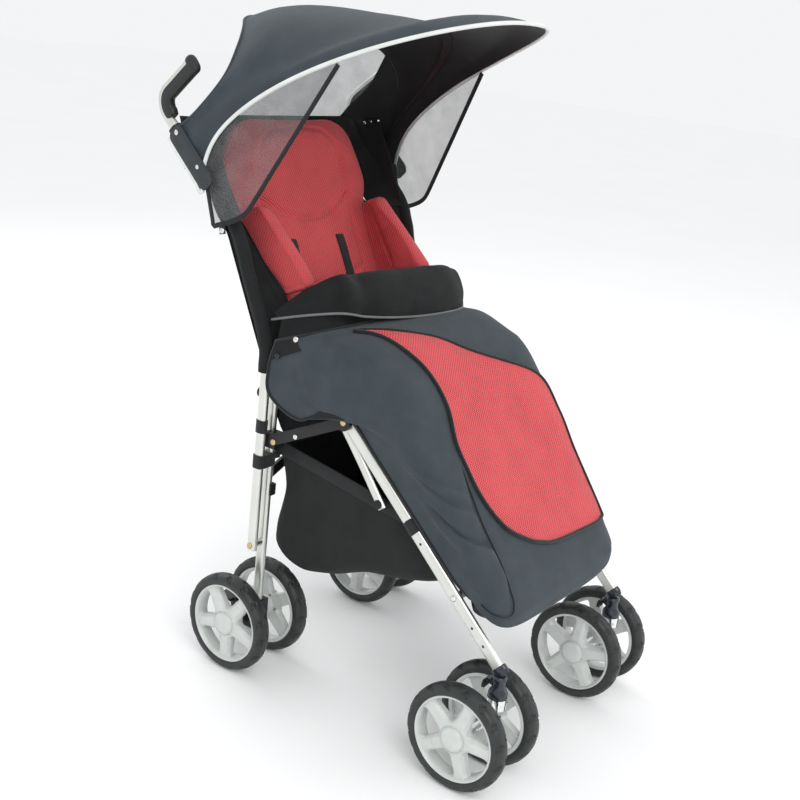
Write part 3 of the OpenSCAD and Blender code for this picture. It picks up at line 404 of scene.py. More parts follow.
# Materials
class Look:
    """A procedural material that is put together step by step."""

    def __init__(self, name, base, rough, inputs=()):
        self.mat = bpy.data.materials.new(name)
        self.mat.use_nodes = True
        self.tree = self.mat.node_tree
        self.shader = self.tree.nodes["Principled BSDF"]
        self.put(self.shader, {"Base Color": (*base, 1), "Roughness": rough, **dict(inputs)})
        self.coords = self.add("ShaderNodeTexCoord")

    def put(self, node, inputs):
        """Sets or links inputs of a node, by number or name."""
        for key, value in inputs.items():
            if isinstance(value, bpy.types.NodeSocket):
                self.tree.links.new(value, node.inputs[key])
            else:
                node.inputs[key].default_value = value

    def add(self, kind, inputs=()):
        node = self.tree.nodes.new(kind)
        self.put(node, dict(inputs))
        return node

    def math(self, operation, a, b=0.0):
        node = self.add("ShaderNodeMath", {0: a, 1: b})
        node.operation = operation
        return node.outputs[0]

    def times(self, a, b):
        return self.math("MULTIPLY", a, b)

    def plus(self, a, b):
        return self.math("ADD", a, b)

    def mapped(self, space, scale, turn=0.0):
        inputs = {0: self.coords.outputs[space], "Scale": scale, "Rotation": (0, 0, turn)}
        return self.add("ShaderNodeMapping", inputs).outputs[0]

    def noise(self, scale, detail, stretch=(1, 1, 1)):
        inputs = {"Vector": self.mapped("Object", stretch), "Scale": scale, "Detail": detail}
        return self.add("ShaderNodeTexNoise", inputs).outputs[0]

    def waves(self, pitch, turn=0.0):
        """Two crossed sets of threads, from -1 to 1."""
        xyz = self.add("ShaderNodeSeparateXYZ", {0: self.mapped("UV", (TURN / pitch,) * 3, turn)})
        return self.math("SINE", xyz.outputs[0]), self.math("SINE", xyz.outputs[1])

    def span(self, value, low, high, new_low, new_high):
        return self.add("ShaderNodeMapRange", {0: value, 1: low, 2: high, 3: new_low, 4: new_high}).outputs[0]

    def colour(self, value, low, high, dark, light):
        ramp = self.add("ShaderNodeValToRGB", {0: value})
        for element, place, tone in zip(ramp.color_ramp.elements, (low, high), (dark, light)):
            element.position = place
            element.color = (*tone, 1)
        self.put(self.shader, {"Base Color": ramp.outputs[0]})

    def rough(self, value, low, high):
        self.put(self.shader, {"Roughness": self.span(value, 0.3, 0.7, low, high)})

    def bump(self, height, strength, distance):
        node = self.add("ShaderNodeBump", {"Strength": strength, "Distance": distance, "Height": height})
        self.put(self.shader, {"Normal": node.outputs[0]})


def shade(colour, factor):
    return tuple(min(1.0, c * factor) for c in colour)


def woven(name, base, pitch, depth, mottle, rough, sheen):
    """Plain weave with a little cloudiness."""
    inputs = {"Sheen Weight": sheen, "Sheen Roughness": 0.5, "Specular IOR Level": 0.25}
    look = Look(name, base, rough, inputs)
    threads = look.times(*look.waves(pitch))
    value = look.plus(look.times(threads, 0.12), look.noise(28.0, 4.0))
    look.colour(value, 0.25, 0.75, shade(base, 1 - mottle), shade(base, 1 + mottle))
    look.bump(look.plus(threads, look.times(look.noise(320.0, 2.0), 1.5)), depth, 0.0004)
    return look.mat


def spacer_mesh(name, light, dark, pitch=0.0046):
    """Knitted spacer fabric: rows of small dimples on the slant."""
    look = Look(name, light, 0.72, {"Sheen Weight": 0.12, "Sheen Roughness": 0.4, "Specular IOR Level": 0.3})
    a, b = look.waves(pitch, math.radians(38))
    dimple = look.times(look.times(look.plus(a, 1.0), look.plus(b, 1.0)), -0.25)
    cloud = look.times(look.math("SUBTRACT", look.noise(14.0, 3.0), 0.5), 0.9)
    look.colour(look.plus(dimple, look.plus(cloud, 1.0)), 0.2, 0.8, dark, light)
    look.bump(dimple, 0.9, 0.0014)
    return look.mat


def net(name, base, cover, rough):
    """Net whose threads cover a share of the view, all of it where cover is above 1."""
    look = Look(name, base, rough, {"Specular IOR Level": 0.5})
    holes = look.times(*look.waves(0.0017, math.radians(45)))
    cloud = look.times(look.math("SUBTRACT", look.noise(22.0, 3.0), 0.5), 0.35)
    veil = look.plus(look.span(holes, -1.0, 1.0, cover - 0.22, cover + 0.22), cloud)
    look.put(look.shader, {"Alpha": veil})
    look.colour(look.noise(30.0, 3.0), 0.3, 0.7, shade(base, 0.8), shade(base, 1.25))
    look.bump(holes, 0.3, 0.0004)
    return look.mat


def metal(name, base, rough, stretch, variation):
    """Metal with fine drawn lines along one direction."""
    look = Look(name, base, rough, {"Metallic": 1.0})
    lines = look.noise(900.0, 2.0, stretch)
    value = look.plus(look.times(lines, 0.35), look.times(look.noise(18.0, 3.0), 0.65))
    look.colour(value, 0.3, 0.7, shade(base, 1 - variation), shade(base, 1 + variation))
    look.rough(lines, rough * 0.8, rough * 1.25)
    look.bump(lines, 0.05, 0.0002)
    return look.mat


def moulded(name, base, rough, grain=1400.0, depth=0.12, coat=0.0, spread=(0.75, 1.35)):
    """Moulded plastic or rubber with a fine grain and handling marks."""
    look = Look(name, base, rough, {"Specular IOR Level": 0.45, "Coat Weight": coat, "Coat Roughness": 0.25})
    marks = look.noise(45.0, 5.0)
    look.colour(marks, 0.3, 0.75, shade(base, spread[0]), shade(base, spread[1]))
    look.rough(marks, rough * 0.85, rough * 1.2)
    look.bump(look.noise(grain, 2.0), depth, 0.0003)
    return look.mat


SLATE = woven("slate_weave", (0.043, 0.056, 0.065), 0.0013, 0.35, 0.14, 0.85, 0.1)
LINING = woven("black_lining", (0.0105, 0.0115, 0.0125), 0.0012, 0.25, 0.25, 0.7, 0.05)
BLACK = woven("black_weave", (0.011, 0.012, 0.0125), 0.0015, 0.4, 0.3, 0.85, 0.04)
FLEECE = woven("black_fleece", (0.0105, 0.0112, 0.0115), 0.0021, 0.6, 0.35, 0.95, 0.07)
WEBBING = woven("black_webbing", (0.014, 0.015, 0.016), 0.0024, 0.7, 0.2, 0.6, 0.1)
BINDING = woven("black_binding", (0.011, 0.012, 0.013), 0.0011, 0.3, 0.2, 0.75, 0.2)
PIPING = woven("pale_piping", (0.72, 0.74, 0.72), 0.001, 0.2, 0.08, 0.6, 0.1)
SLOT_TRIM = woven("slot_trim", (0.42, 0.20, 0.19), 0.001, 0.2, 0.2, 0.7, 0.1)
GREY_PIPING = woven("grey_piping", (0.16, 0.17, 0.17), 0.001, 0.2, 0.1, 0.6, 0.1)
RED = spacer_mesh("red_spacer", (0.72, 0.092, 0.1), (0.24, 0.01, 0.017))
NET = net("window_net", (0.13, 0.135, 0.138), 0.5, 0.55)
BASKET_NET = net("basket_net", (0.0075, 0.009, 0.009), 1.08, 0.85)
ALUMINIUM = metal("drawn_aluminium", (0.70, 0.71, 0.67), 0.36, (1, 1, 0.03), 0.08)
CHROME = metal("polished_chrome", (0.82, 0.83, 0.83), 0.1, (1, 1, 0.2), 0.03)
STEEL = metal("rivet_steel", (0.72, 0.72, 0.70), 0.22, (1, 1, 1), 0.06)
BRASS = metal("rivet_brass", (0.62, 0.48, 0.26), 0.28, (1, 1, 1), 0.08)
COATED = moulded("black_coat", (0.008, 0.0083, 0.009), 0.5, 900.0, 0.08)
PLATE = moulded("slate_plate", (0.024, 0.031, 0.036), 0.45, 900.0, 0.1)
PLASTIC = moulded("black_plastic", (0.014, 0.0145, 0.016), 0.42)
RUBBER = moulded("grip_rubber", (0.015, 0.0152, 0.016), 0.5, 1800.0, 0.2)
NAVY = moulded("navy_plastic", (0.012, 0.0155, 0.027), 0.25, 1600.0, 0.06, 0.4)
TYRE = moulded("tyre_rubber", (0.023, 0.026, 0.026), 0.48, 700.0, 0.2)
# Darker rubber for the faces in the tread's grooves: painted shade in the grooves
GROOVE_SHADE = moulded("tyre_groove_painted_shade", (0.0155, 0.0175, 0.0175), 0.6, 700.0, 0.2)
RIM = moulded("rim_silver", (0.58, 0.6, 0.58), 0.3, 2200.0, 0.05, 0.2, (0.95, 1.05))


# Padded pieces
def round_plan(u, v, half_w, half_l, radius, radius_l):
    """A square grid from -1 to 1 laid out as a rectangle with round corners."""
    x, y = np.abs(u) * half_w, np.abs(v) * half_l
    a = np.clip((x - half_w + radius) / radius, 0, 1)
    b = np.clip((y - half_l + radius_l) / radius_l, 0, 1)
    x = np.where(a > 0, half_w - radius + radius * a * np.sqrt(1 - b * b / 2), x)
    y = np.where(b > 0, half_l - radius_l + radius_l * b * np.sqrt(1 - a * a / 2), y)
    return np.sign(u) * x, np.sign(v) * y


def pillow(half_w, half_l, thick, radius, cols, rows, drawn=0.03, rim=0.3, radius_l=None):
    """Plan of a crowned closed pad, and the heights of its two faces."""
    u, v = np.meshgrid(np.linspace(-1, 1, cols), np.linspace(-1, 1, rows))
    x, y = round_plan(u, v, half_w, half_l, radius, radius_l or radius)
    x = x * (1 - drawn * (1 - v * v))
    y = y * (1 - drawn * 0.5 * (1 - u * u))
    crown = ((1 - np.abs(u) ** 8) * (1 - np.abs(v) ** 14)) ** 0.5
    return x, y, thick * (rim + (1 - rim) * crown), thick * rim * 0.55 * (1 - crown)


def closed_pad(top, low, uv=None, turn=False):
    """Pad from an upper and a lower grid that share their rim."""
    top, low = row(top), row(low)
    uv = arc_uv(top) if uv is None else uv * MM
    rows, cols = top.shape[:2]
    rim = np.ones((rows, cols), bool)
    rim[1:-1, 1:-1] = False
    number = np.arange(rows * cols).reshape(rows, cols)
    under = np.where(rim, number, rows * cols + np.cumsum(~rim).reshape(rows, cols) - 1)
    faces, corners = [], []
    for i in range(rows - 1):
        for j in range(cols - 1):
            cell = [(i, j), (i, j + 1), (i + 1, j + 1), (i + 1, j)]
            if turn:
                cell = cell[::-1]
            for order, numbers in ((cell, number), (cell[::-1], under)):
                faces.append([numbers[c] for c in order])
                corners += [uv[c] for c in order]
    return patch(np.concatenate([top.reshape(-1, 3), low[~rim]]), faces, corners)


# Canopy: the same curves as the solid, at a finer step
HALF, REACH, RISE = 280.0, 465.0, 352.0
CORNER = (132.65, 873.9)
WAIST_Y, BACK = 162.65, 75.0
BACK_ANGLES = [0, 10, 20, 30, 45, 60, 75, 90]
BACK_SHARES = [1, 0.85, 0.42, -0.1, -0.62, -0.72, -0.2, 0.36]
BACK_RISES = [0.885, 0.88, 0.865, 0.84, 0.75, 0.6, 0.42, 0.31]
EDGE_ANGLE = 89.4
PIVOT = (170.65, 951.9)


def canopy_at(a, v):
    """A point at an angle across the canopy and a share of the way from its front edge to its back edge."""
    a, v = np.broadcast_arrays(np.asarray(a, float), np.asarray(v, float))
    side, c = np.abs(a), np.cos(np.radians(a))
    x = HALF * np.sign(a) * np.sin(np.radians(side)) ** 0.8
    front = np.stack([x, CORNER[0] - REACH * c ** 1.62, CORNER[1] + RISE * c ** 0.73], -1)
    back = np.stack([x, WAIST_Y + BACK * spline(BACK_ANGLES, BACK_SHARES, side),
                     CORNER[1] + RISE * spline(BACK_ANGLES, BACK_RISES, side)], -1)
    p = mix(front, back, v)
    crown = RISE * 0.05 * 4 * v * (1 - v) * c
    hump = 12 * smooth(v, 0.55, 0.8) * (1 - smooth(v, 0.85, 1.05)) * c ** 2
    dip = -16 * bell(v - 0.32, 0.2) * c ** 3
    brim = 11 * bell(v - 0.12, 0.09) * c ** 2
    pull = smooth(side, 72, EDGE_ANGLE) * (1 - v)
    p[..., 1] -= 14 * pull
    p[..., 2] += crown + hump + dip + brim + 12 * pull
    return p


fine_angles = np.linspace(-EDGE_ANGLE, EDGE_ANGLE, 2000)
hoop_run = run_of(canopy_at(fine_angles, 0.3))
angles = np.interp(np.linspace(0, hoop_run[-1], 121), hoop_run, fine_angles)
rows_v = np.linspace(0, 1, 31)[:, None]
canopy = canopy_at(angles, rows_v)
ripple = 1.6 * np.sin(rows_v * 9 + angles * 0.11) * np.sin(np.radians(angles)) ** 2
cloth("canopy_hood", canopy - ripple[..., None] * normals(canopy), 2.2, [SLATE, LINING], CANOPY, "stretched",
      ["canopy_bow_strip"], ["canopy_shell"], inner=1)

# Pale piping along the front edge, round the corners and up the rear edges of the corner plates
PLATE_MID = np.array([152.0, 956.7])
PLATE_RUN = np.array([0.741, 0.672])
PLATE_ACROSS = np.array([-0.672, 0.741])
rear_run = PLATE_MID + np.linspace(-60, 44, 14)[:, None] * PLATE_RUN - 23 * PLATE_ACROSS
rear_run = join(282.5, np.concatenate([[(112.5, 889.0), (117.0, 889.5)], rear_run]))
edge_path = np.concatenate([mirrored(rear_run[::-1], -1), canopy_at(angles[1:-1], 0.0), rear_run])
piece("canopy_piping", [tube(along(edge_path, 300), 3.6)], PIPING, CANOPY)
piece("canopy_back_binding", [tube(canopy_at(angles, 1.0), 2.6)], SLATE, CANOPY)

# Bow under the canopy, with a plate and a strut at each pivot
bow = canopy_at(angles, np.linspace(0.42, 0.48, 4)[:, None])
bow_parts = [shell(bow + 4.2 * normals(bow), 1.6)]
PIVOT_PLATE = [(4.2, 0), (14.8, 0), (15.2, 0.6), (15.2, 2.4), (14.6, 3), (4.2, 3)]
for name, s in SIDES:
    bow_parts.append(lathe(PIVOT_PLATE, row([s * 271.5, *PIVOT]), (s, 0, 0)))
    strut = [[s * 273.4, *PIVOT], [s * 274.6, 164, 938], [s * 275, 158.3, 923.5]]
    bow_parts.append(ribbon(along(strut, 8), 13, 3, X_UP))
piece("canopy_bow_strip", bow_parts, PLASTIC, CANOPY, ["canopy_bow"])

# Dark plates over the canopy's rear corners, with their rivets
u, w = np.meshgrid(np.linspace(-1, 1, 25), np.linspace(-1, 1, 13), indexing="ij")
plate_u, plate_w = round_plan(u, w, 1.0, 1.0, 0.28, 0.6)
plate_yz = (PLATE_MID + (62.5 * plate_u - 15.5)[..., None] * PLATE_RUN
            + (18 * plate_w - 3)[..., None] * PLATE_ACROSS)
swell = 1.6 * (1 - np.maximum(np.abs(u), np.abs(w)) ** 6)
plate_x = 282.2 - 0.035 * np.maximum(0, plate_yz[..., 1] - 985) + swell
for name, s in SIDES:
    piece("corner_plate_" + name, [shell(join(s * plate_x, plate_yz), 2.2, flip=s < 0)], PLATE, CANOPY)
    heads = [stud([s * 283.6, *(PLATE_MID + t * PLATE_RUN)], (s, 0, 0), 5.2, 3) for t in (-37.6, 37.6)]
    piece("corner_rivets_" + name, heads, STEEL, CANOPY)

# Net windows under the sides of the canopy, with black binding
KNEE = 0.7
HEM_FRONT, HEM_REAR = np.array([264.0, 17.0, 875.0]), np.array([273.0, 88.65, 834.9])
win_t, win_r = np.linspace(0, 1, 41), np.linspace(0, 1, 17)
upper = canopy_at(48 + 39 * win_t, 0.0) + [-5.0, 0, -3.5]
past = (win_t - KNEE) / (1 - KNEE)
lower = np.where(win_t[:, None] < KNEE, mix(upper[0] - [0, 0, 3], HEM_FRONT, win_t / KNEE),
                 mix(HEM_FRONT, HEM_REAR, past))
lower[:, 1] -= 14 * arch(np.clip(past, 0, 1))
lower = ease(lower, 4)
window = loft(upper, lower, win_r)
belly = np.outer(arch(win_r), arch(win_t))
folds = 2.2 * np.sin(win_t * 31 + win_r[:, None] * 5) + 1.3 * np.sin(win_t * 13 - win_r[:, None] * 9)
window[..., 0] += (folds - 3.0) * belly
border = along(np.concatenate([lower, np.linspace(lower[-1], upper[-1], 12)[1:]]), 90)
tab = along([[272.0, 70.0, 842.0], [273.5, 66.5, 832.0], [274.0, 64.5, 825.0]], 8)
for name, s in SIDES:
    cloth("window_net_" + name, mirrored(window, s), 0, NET, CANOPY, "hung", ["canopy_hood"],
          ["canopy_windows"] if s > 0 else (), flip=s > 0)
    piece("window_binding_" + name, [ribbon(mirrored(border, s), 9, 2.4, X_UP)], BINDING, CANOPY)
    piece("window_tab_" + name, [ribbon(mirrored(tab, s), 14, 2, X_UP)], WEBBING, CANOPY)
    piece("window_snap_" + name, [stud([s * 274.6, 65.8, 831], (s, 0, 0), 5.2, 3)], STEEL, CANOPY)

# Rear curtain: from the canopy's back edge down to the top of the seat's back, with net in its middle
CURTAIN_EDGE = 78.0


def curtain_at(c, r):
    """A point of the curtain at a share across (-1 to 1) and down (0 to 1)."""
    c, r = np.broadcast_arrays(np.asarray(c, float), np.asarray(r, float))
    top = canopy_at(CURTAIN_EDGE * c, 0.985) * [0.985, 1, 1] - [0, 0, 4.0]
    foot = np.stack([188 * c, 203 + 5 * np.cos(np.pi * c / 2), np.full(c.shape, 1003.0)], -1)
    p = mix(top, foot, r)
    p[..., 1] += (13 + 3.5 * np.sin(c * 15 + r * 4)) * arch(r)
    return p


down = np.linspace(0, 1, 25)[:, None]
net_edge = 0.56 + 0.38 * down
net_across = net_edge * np.linspace(-1, 1, 51)
cloth("rear_net", curtain_at(net_across, down), 0, NET, CANOPY, "hung", ["canopy_hood"])
flank_across = net_edge + (1 - net_edge) * np.linspace(0, 1, 15)
flanks = [curtain_at(s * flank_across, down) for name, s in SIDES]
curtain = piece("rear_curtain", [shell(flanks[0], 1.6), shell(flanks[1], 1.6, flip=True)], LINING, CANOPY)
cuts = [cut(flank) for flank in flanks]

# Seat: lines of the sling's side view
CREASE = np.array([-46.0, 466.0])
SEAT_FRONT = np.array([-188.6, 538.6])
BACK_L = 452.0
BACK_LEAN, HEAD_LEAN = 26.6, 11.0


def back_line(s):
    """Points and forward normals of the back, s above the crease, with a soft bend at the head."""
    fine = np.linspace(0, 640, 1281)
    lean = np.radians(BACK_LEAN + (HEAD_LEAN - BACK_LEAN) * smooth(fine, BACK_L - 55, BACK_L + 55))
    step = fine[1] - fine[0]
    y = CREASE[0] + np.r_[0, np.cumsum(np.sin(lean)[:-1] * step)]
    z = CREASE[1] + np.r_[0, np.cumsum(np.cos(lean)[:-1] * step)]
    a = np.interp(s, fine, lean)
    return np.stack([np.interp(s, fine, y), np.interp(s, fine, z)], -1), np.stack([-np.cos(a), np.sin(a)], -1)


def on_back(x, s, height):
    """A point that stands off the back."""
    yz, out = back_line(s)
    return join(x, yz + np.asarray(height)[..., None] * out)


def groove(plan, path, width, depth):
    """How deep a sewn seam along a path pulls the surface in, at points of the pad's plan."""
    far = np.full(plan.shape[:-1], 1e9)
    for a, b in zip(path[:-1], path[1:]):
        t = np.clip(((plan - a) @ (b - a)) / ((b - a) @ (b - a)), 0, 1)
        far = np.minimum(far, np.linalg.norm(plan - a - t[..., None] * (b - a), axis=-1))
    return depth * bell(far, width)


# Long back and head pad, wider below the head
PAD_LOW, PAD_HIGH, PAD_T = 28.0, 592.0, 28.0
LAYER = 0.6
PAD_S = [28, 300, 380, 420, 464, 507, 541, 575, 592]
PAD_W = [187, 187, 190, 202, 213, 202, 187, 168, 156]
pad_x, pad_y, pad_top, pad_low = pillow(1.0, (PAD_HIGH - PAD_LOW) / 2, PAD_T, 0.34, 65, 123, 0.0, 0.45, 46.0)
pad_s = pad_y + (PAD_LOW + PAD_HIGH) / 2
pad_x = pad_x * spline(PAD_S, PAD_W, pad_s)
plan = np.stack([pad_x, pad_s], -1)
c = np.linspace(-1, 1, 25)
head_seam = np.stack([135 * c, 392 + 58 * np.abs(c) ** 2.2], -1)
low_seam = np.stack([124 * c, 262 + 26 * c * c], -1)
border_seam = np.array([(-128, 60), (-126, 400), (-118, 500), (-104, 545), (-72, 566), (0, 571)], float)
border_seam = np.concatenate([border_seam, border_seam[-2::-1] * [-1, 1]])
seams = (groove(plan, head_seam, 5.0, 7.5) + groove(plan, border_seam, 4.5, 6.5)
         + groove(plan, low_seam, 4.5, 5.0))
pad_faces = [on_back(pad_x, pad_s, h + LAYER) for h in (pad_top, pad_low)]
stuffed("back_pad", *pad_faces, RED, SEAT, fill=0.55, pressure=3.0, cap=5,
        replaces=["back_cushion", "head_cushion"], uv=plan, seams=seams[..., None] * back_line(pad_s)[1])

# Harness: two straps that come out of slots and run down over the pad, with stitched slots
STRAP_X = 70.0
STRAP_S = np.array([362.0, 359.0, 350.0, 332.0, 300.0, 255.0, 215.0, 175.0, 136.0])
STRAP_HIGH = [22.0, 29.0, 34.0, 35.0, 34.5, 34.5, 34.5, 34.0, 33.0]
STRAP_OUT = STRAP_X + np.array([0, 0, 0, 1, 2, 3, 3, 2, 0])
STRAP_UP = (0, -math.cos(0.46), math.sin(0.46))
SLOT_PLACES = ((64.0, 417.0, 11.0), (STRAP_X, 364.0, 13.0), (52.0, 300.0, 8.0))
strap_parts, slot_parts = [], []
for s in (-1, 1):
    strap_parts.append(ribbon(along(on_back(s * STRAP_OUT, STRAP_S, STRAP_HIGH), 60), 23, 2, STRAP_UP))
    for x, place, length in SLOT_PLACES:
        t = np.linspace(-length, length, 16)
        seam = on_back(s * x + t, place + 1.5 * np.cos(t / length * 1.5), np.full(16, PAD_T + 0.2))
        slot_parts.append(ribbon(seam, 4.4, 3, (0, -0.9, 0.44)))
straps = piece("shoulder_straps", strap_parts, WEBBING, SEAT, ["harness"])
piece("strap_slots", slot_parts, SLOT_TRIM, SEAT)

# Seat pad
seat_x, seat_y, seat_top, seat_low = pillow(133.0, 66.0, 25.0, 30.0, 45, 25)
SEAT_TILT = math.radians(27)
SEAT_RUN = np.array([-math.cos(SEAT_TILT), math.sin(SEAT_TILT)])
SEAT_UP = np.array([math.sin(SEAT_TILT), math.cos(SEAT_TILT)])
seat_line = CREASE + (94 + seat_y)[..., None] * SEAT_RUN
seat_faces = [join(seat_x, seat_line + (h + LAYER)[..., None] * SEAT_UP) for h in (seat_top, seat_low)]
stuffed("seat_pad", *seat_faces, RED, SEAT, fill=0.6, pressure=3.0, cap=4, replaces=["seat_cushion"],
        uv=np.stack([seat_x, seat_y], -1), turn=True)

# Bolsters: padded wings beside the back, thick along their upper edge
TOP_REAR, TOP_FRONT = np.array([66.0, 872.0]), np.array([-76.0, 752.0])
LOW_REAR, LOW_FRONT = np.array([124.0, 846.0]), np.array([64.0, 676.0])
BOLSTER_X = 189.0
wing_u, wing_v, crown = pillow(1.0, 1.0, 1.0, 0.2, 45, 27, 0.0, 0.0, 0.3)[:3]
share_u, share_v = (wing_u + 1) / 2, (wing_v + 1) / 2
wing_yz = mix(mix(TOP_REAR, TOP_FRONT, share_u), mix(LOW_REAR, LOW_FRONT, share_u), share_v)
wing_t = (37 - 14 * smooth(share_v, 0.25, 0.75)) * (0.25 + 0.75 * crown) - 4.5 * bell(share_v - 0.5, 0.035)
for name, s in SIDES:
    stuffed("bolster_" + name, join(s * (BOLSTER_X - wing_t), wing_yz),
            join(s * (BOLSTER_X - 3 * (1 - crown)), wing_yz), RED, SEAT, fill=0.8, pressure=4.0, cap=4,
            replaces=["side_bolsters"] if s > 0 else (), turn=s < 0)

# Sling: back and seat sheet with side walls
SLING_X, WALL_X, WING_IN_X = 195.0, 194.3, 193.2
back_yz = back_line(np.linspace(0, 596, 61))[0]
seat_yz = mix(SEAT_FRONT, CREASE, np.linspace(0, 1, 16))
profile = ease(np.concatenate([seat_yz[:-1], back_yz]), 6)
behind = unit(np.stack([np.gradient(profile[:, 1]), -np.gradient(profile[:, 0])], -1))
behind *= (0.35 + 0.65 * arch(np.linspace(0, 1, len(profile))))[:, None]
sling_x = np.linspace(-SLING_X, SLING_X, 41)
sag = 1.5 + 9 * (1 - (sling_x / SLING_X) ** 2)
sling_wide = np.interp(profile[:, 1], [810, 842, 882, 905, 930, 960], [1, 1.07, 1.115, 1.09, 1.03, 1])
sling_grids = [join(sling_wide[:, None] * sling_x, profile[:, None] + sag[:, None] * behind[:, None])]
WING_LOW, WING_HIGH = np.array([-27.0, 712.0]), np.array([101.0, 838.0])
WING_MID = (WING_LOW + WING_HIGH) / 2
lean = math.radians(BACK_LEAN)
wall_top = along([SEAT_FRONT, CREASE + [31, 184], WING_LOW, WING_MID, WING_HIGH,
                  CREASE + BACK_L * np.array([math.sin(lean), math.cos(lean)])], 50)
wall_low = along(np.concatenate([seat_yz[::5], back_yz[2:47:9]]), 50)
t = np.linspace(0, 1, 14)
wall_x = WALL_X - 2.5 * np.outer(arch(t), arch(np.linspace(0, 1, 50)))
sling_grids += [join(s * wall_x, loft(wall_low, wall_top, t)) for name, s in SIDES]
sling_parts = [shell(sling_grids[0], 2.2), shell(sling_grids[1], 1.8), shell(sling_grids[2], 1.8, flip=True)]
sling = piece("seat_sling_sheet", sling_parts, BLACK, SEAT, ["seat_sling"])
cuts = [cut(g) for g in sling_grids]

# Side wings that reach out to the tubes, and sleeves round the tubes
TUBE_LOW, TUBE_HIGH = np.array([233.9, -9.0, 665.0]), np.array([248.3, 55.6, 832.0])
TUBE_MID = (TUBE_LOW + TUBE_HIGH) / 2
TUBE_UP = (0, -0.93, 0.37)
outer = along([np.array([231.0, -20.0, 575.0]), TUBE_LOW, TUBE_MID, TUBE_HIGH + [0.8, 6, 14]], 40)
inner = along([CREASE + [4, 150], WING_LOW + [4, -4], WING_MID + [3, -3], WING_HIGH + [2, -2]], 40)
t, lengthwise = np.linspace(0, 1, 18), np.linspace(0, 1, 40)
wing = loft(outer, join(WING_IN_X, inner), t)
hollow = np.outer(arch(t), 0.4 + 0.6 * arch(lengthwise))
wing[..., 1] += 12 * hollow
wing[..., 0] += (1.4 * np.sin(t[:, None] * 17 + lengthwise * 9) - 5) * hollow
core = along([[231.2, -19.0, 590.0], [232.4, -16.2, 640.0], TUBE_LOW, TUBE_MID, TUBE_HIGH,
              [250.0, 66.7, 850.0], [251.75, 85.6, 870.0], [253.5, 106.4, 890.0], [254.8, 121.5, 904.5]], 64)
wrinkle = 1 + 0.035 * np.sin(np.linspace(0, 52, 64)) * np.sin(np.linspace(0, 12, 64))
sleeve_outline = oval(10.2, 13.4, 20) - [0, 0.6]
for name, s in SIDES:
    cloth("side_wing_" + name, mirrored(wing, s), 1.8, BLACK, name + "_side", "stretched",
          ["push_tube_" + name], flip=s > 0)
    piece("sleeve_" + name, [sweep(mirrored(core, s), sleeve_outline, up=TUBE_UP, scale=wrinkle)], BLACK,
          name + "_side", ["tube_sleeve_" + name])

# Upper wings: from the tubes to the edges of the back, up to the canopy
outer = along([[241.0, 61.6, 846.0], [242.0, 85.6, 872.0], [243.0, 127.0, 911.0], [243.5, 186.0, 968.0],
               [244.0, 208.0, 1000.0]], 40)
inner = along([[193.2, 103.0, 836.0], [209.0, 142.0, 862.0], [215.0, 155.0, 882.0], [204.0, 173.0, 925.0],
               [166.0, 196.0, 1010.0]], 40)
t = np.linspace(0, 1, 16)
upper_wing = loft(outer, inner, t)
hollow = np.outer(arch(t), 0.3 + 0.7 * arch(lengthwise))
upper_wing[..., 1] += (9 + 1.5 * np.sin(t[:, None] * 14 + lengthwise * 8)) * hollow
for name, s in SIDES:
    cloth("upper_wing_" + name, mirrored(upper_wing, s), 1.8, BLACK, name + "_side", "stretched",
          ["push_tube_" + name], flip=s > 0)

# Linings inside the canopy clamps, with two snaps each
rear_edge = along([[238.5, 84, 858], [242, 118, 890], [243.3, 160, 930], [243.5, 200, 968],
                   [243.8, 217, 1006]], 30)
front_edge = along([[238.5, 62, 862], [242, 84, 900], [243.3, 108, 945], [244, 130, 985],
                    [244.5, 150, 1012]], 30)
lining = loft(rear_edge, front_edge, np.linspace(0, 1, 14))
for name, s in SIDES:
    cloth("side_lining_" + name, mirrored(lining, s), 1.4, LINING, name + "_side", "stretched",
          ["canopy_clamp_" + name], flip=s < 0)
    snaps = [stud([s * 243.2, y, z], (-s, 0, 0), 3.4, 2.2) for y, z in ((178, 999), (163, 1004))]
    piece("lining_snaps_" + name, snaps, STEEL, name + "_side")


def superellipse_angle(t, power):
    """Angles, for shares from -1 to 1, that space points evenly round a half superellipse."""
    t = np.asarray(t, float)
    u = np.abs(t)
    even = 2 * math.sin(math.radians(45)) ** power
    first = np.degrees(np.arcsin((np.minimum(u, 0.5) * even) ** (1 / power)))
    second = 90 - np.degrees(np.arcsin((np.minimum(1 - u, 0.5) * even) ** (1 / power)))
    return np.sign(t) * np.where(u < 0.5, first, second)


# Basket: a lofted sheet that hangs from its hem. Its front part goes with the front legs in the fold
BAG_X, HEM_X = 186, 186.5
BAG_POWER, BAG_ROWS, BAG_SPLIT = 0.35, 70, 44
BAG_LOW = [(-33.8, 440), (-38, 392), (-36, 345), (-20, 295), (-9, 252), (-10, 216), (-26, 201), (-60, 189),
           (-130, 202), (-222.8, 240), (-333.8, 265), (-386, 288), (-400, 310), (-386, 340), (-358, 374),
           (-333.8, 400)]
HEM_REAR_END, HEM_RUN = np.array([-33.8, 440.0]), np.array([-300.0, -40.0])
low_path = along(BAG_LOW, BAG_ROWS)
hem_share = np.linspace(0, 1, BAG_ROWS)[:, None]
hem = HEM_REAR_END + HEM_RUN * hem_share
bend = superellipse_angle(np.linspace(-1, 1, 65), BAG_POWER)
sin_b = np.sign(bend) * np.abs(np.sin(np.radians(bend))) ** BAG_POWER
lift = 1 - np.abs(np.cos(np.radians(bend))) ** BAG_POWER
bag_yz = mix(low_path[:, None], hem[:, None], lift)
bag_yz[..., 1] -= 9 * arch(hem_share) * (1 - sin_b ** 2)
side_zone = smooth(lift, 0.02, 0.3) * (1 - smooth(lift, 0.7, 1.0))
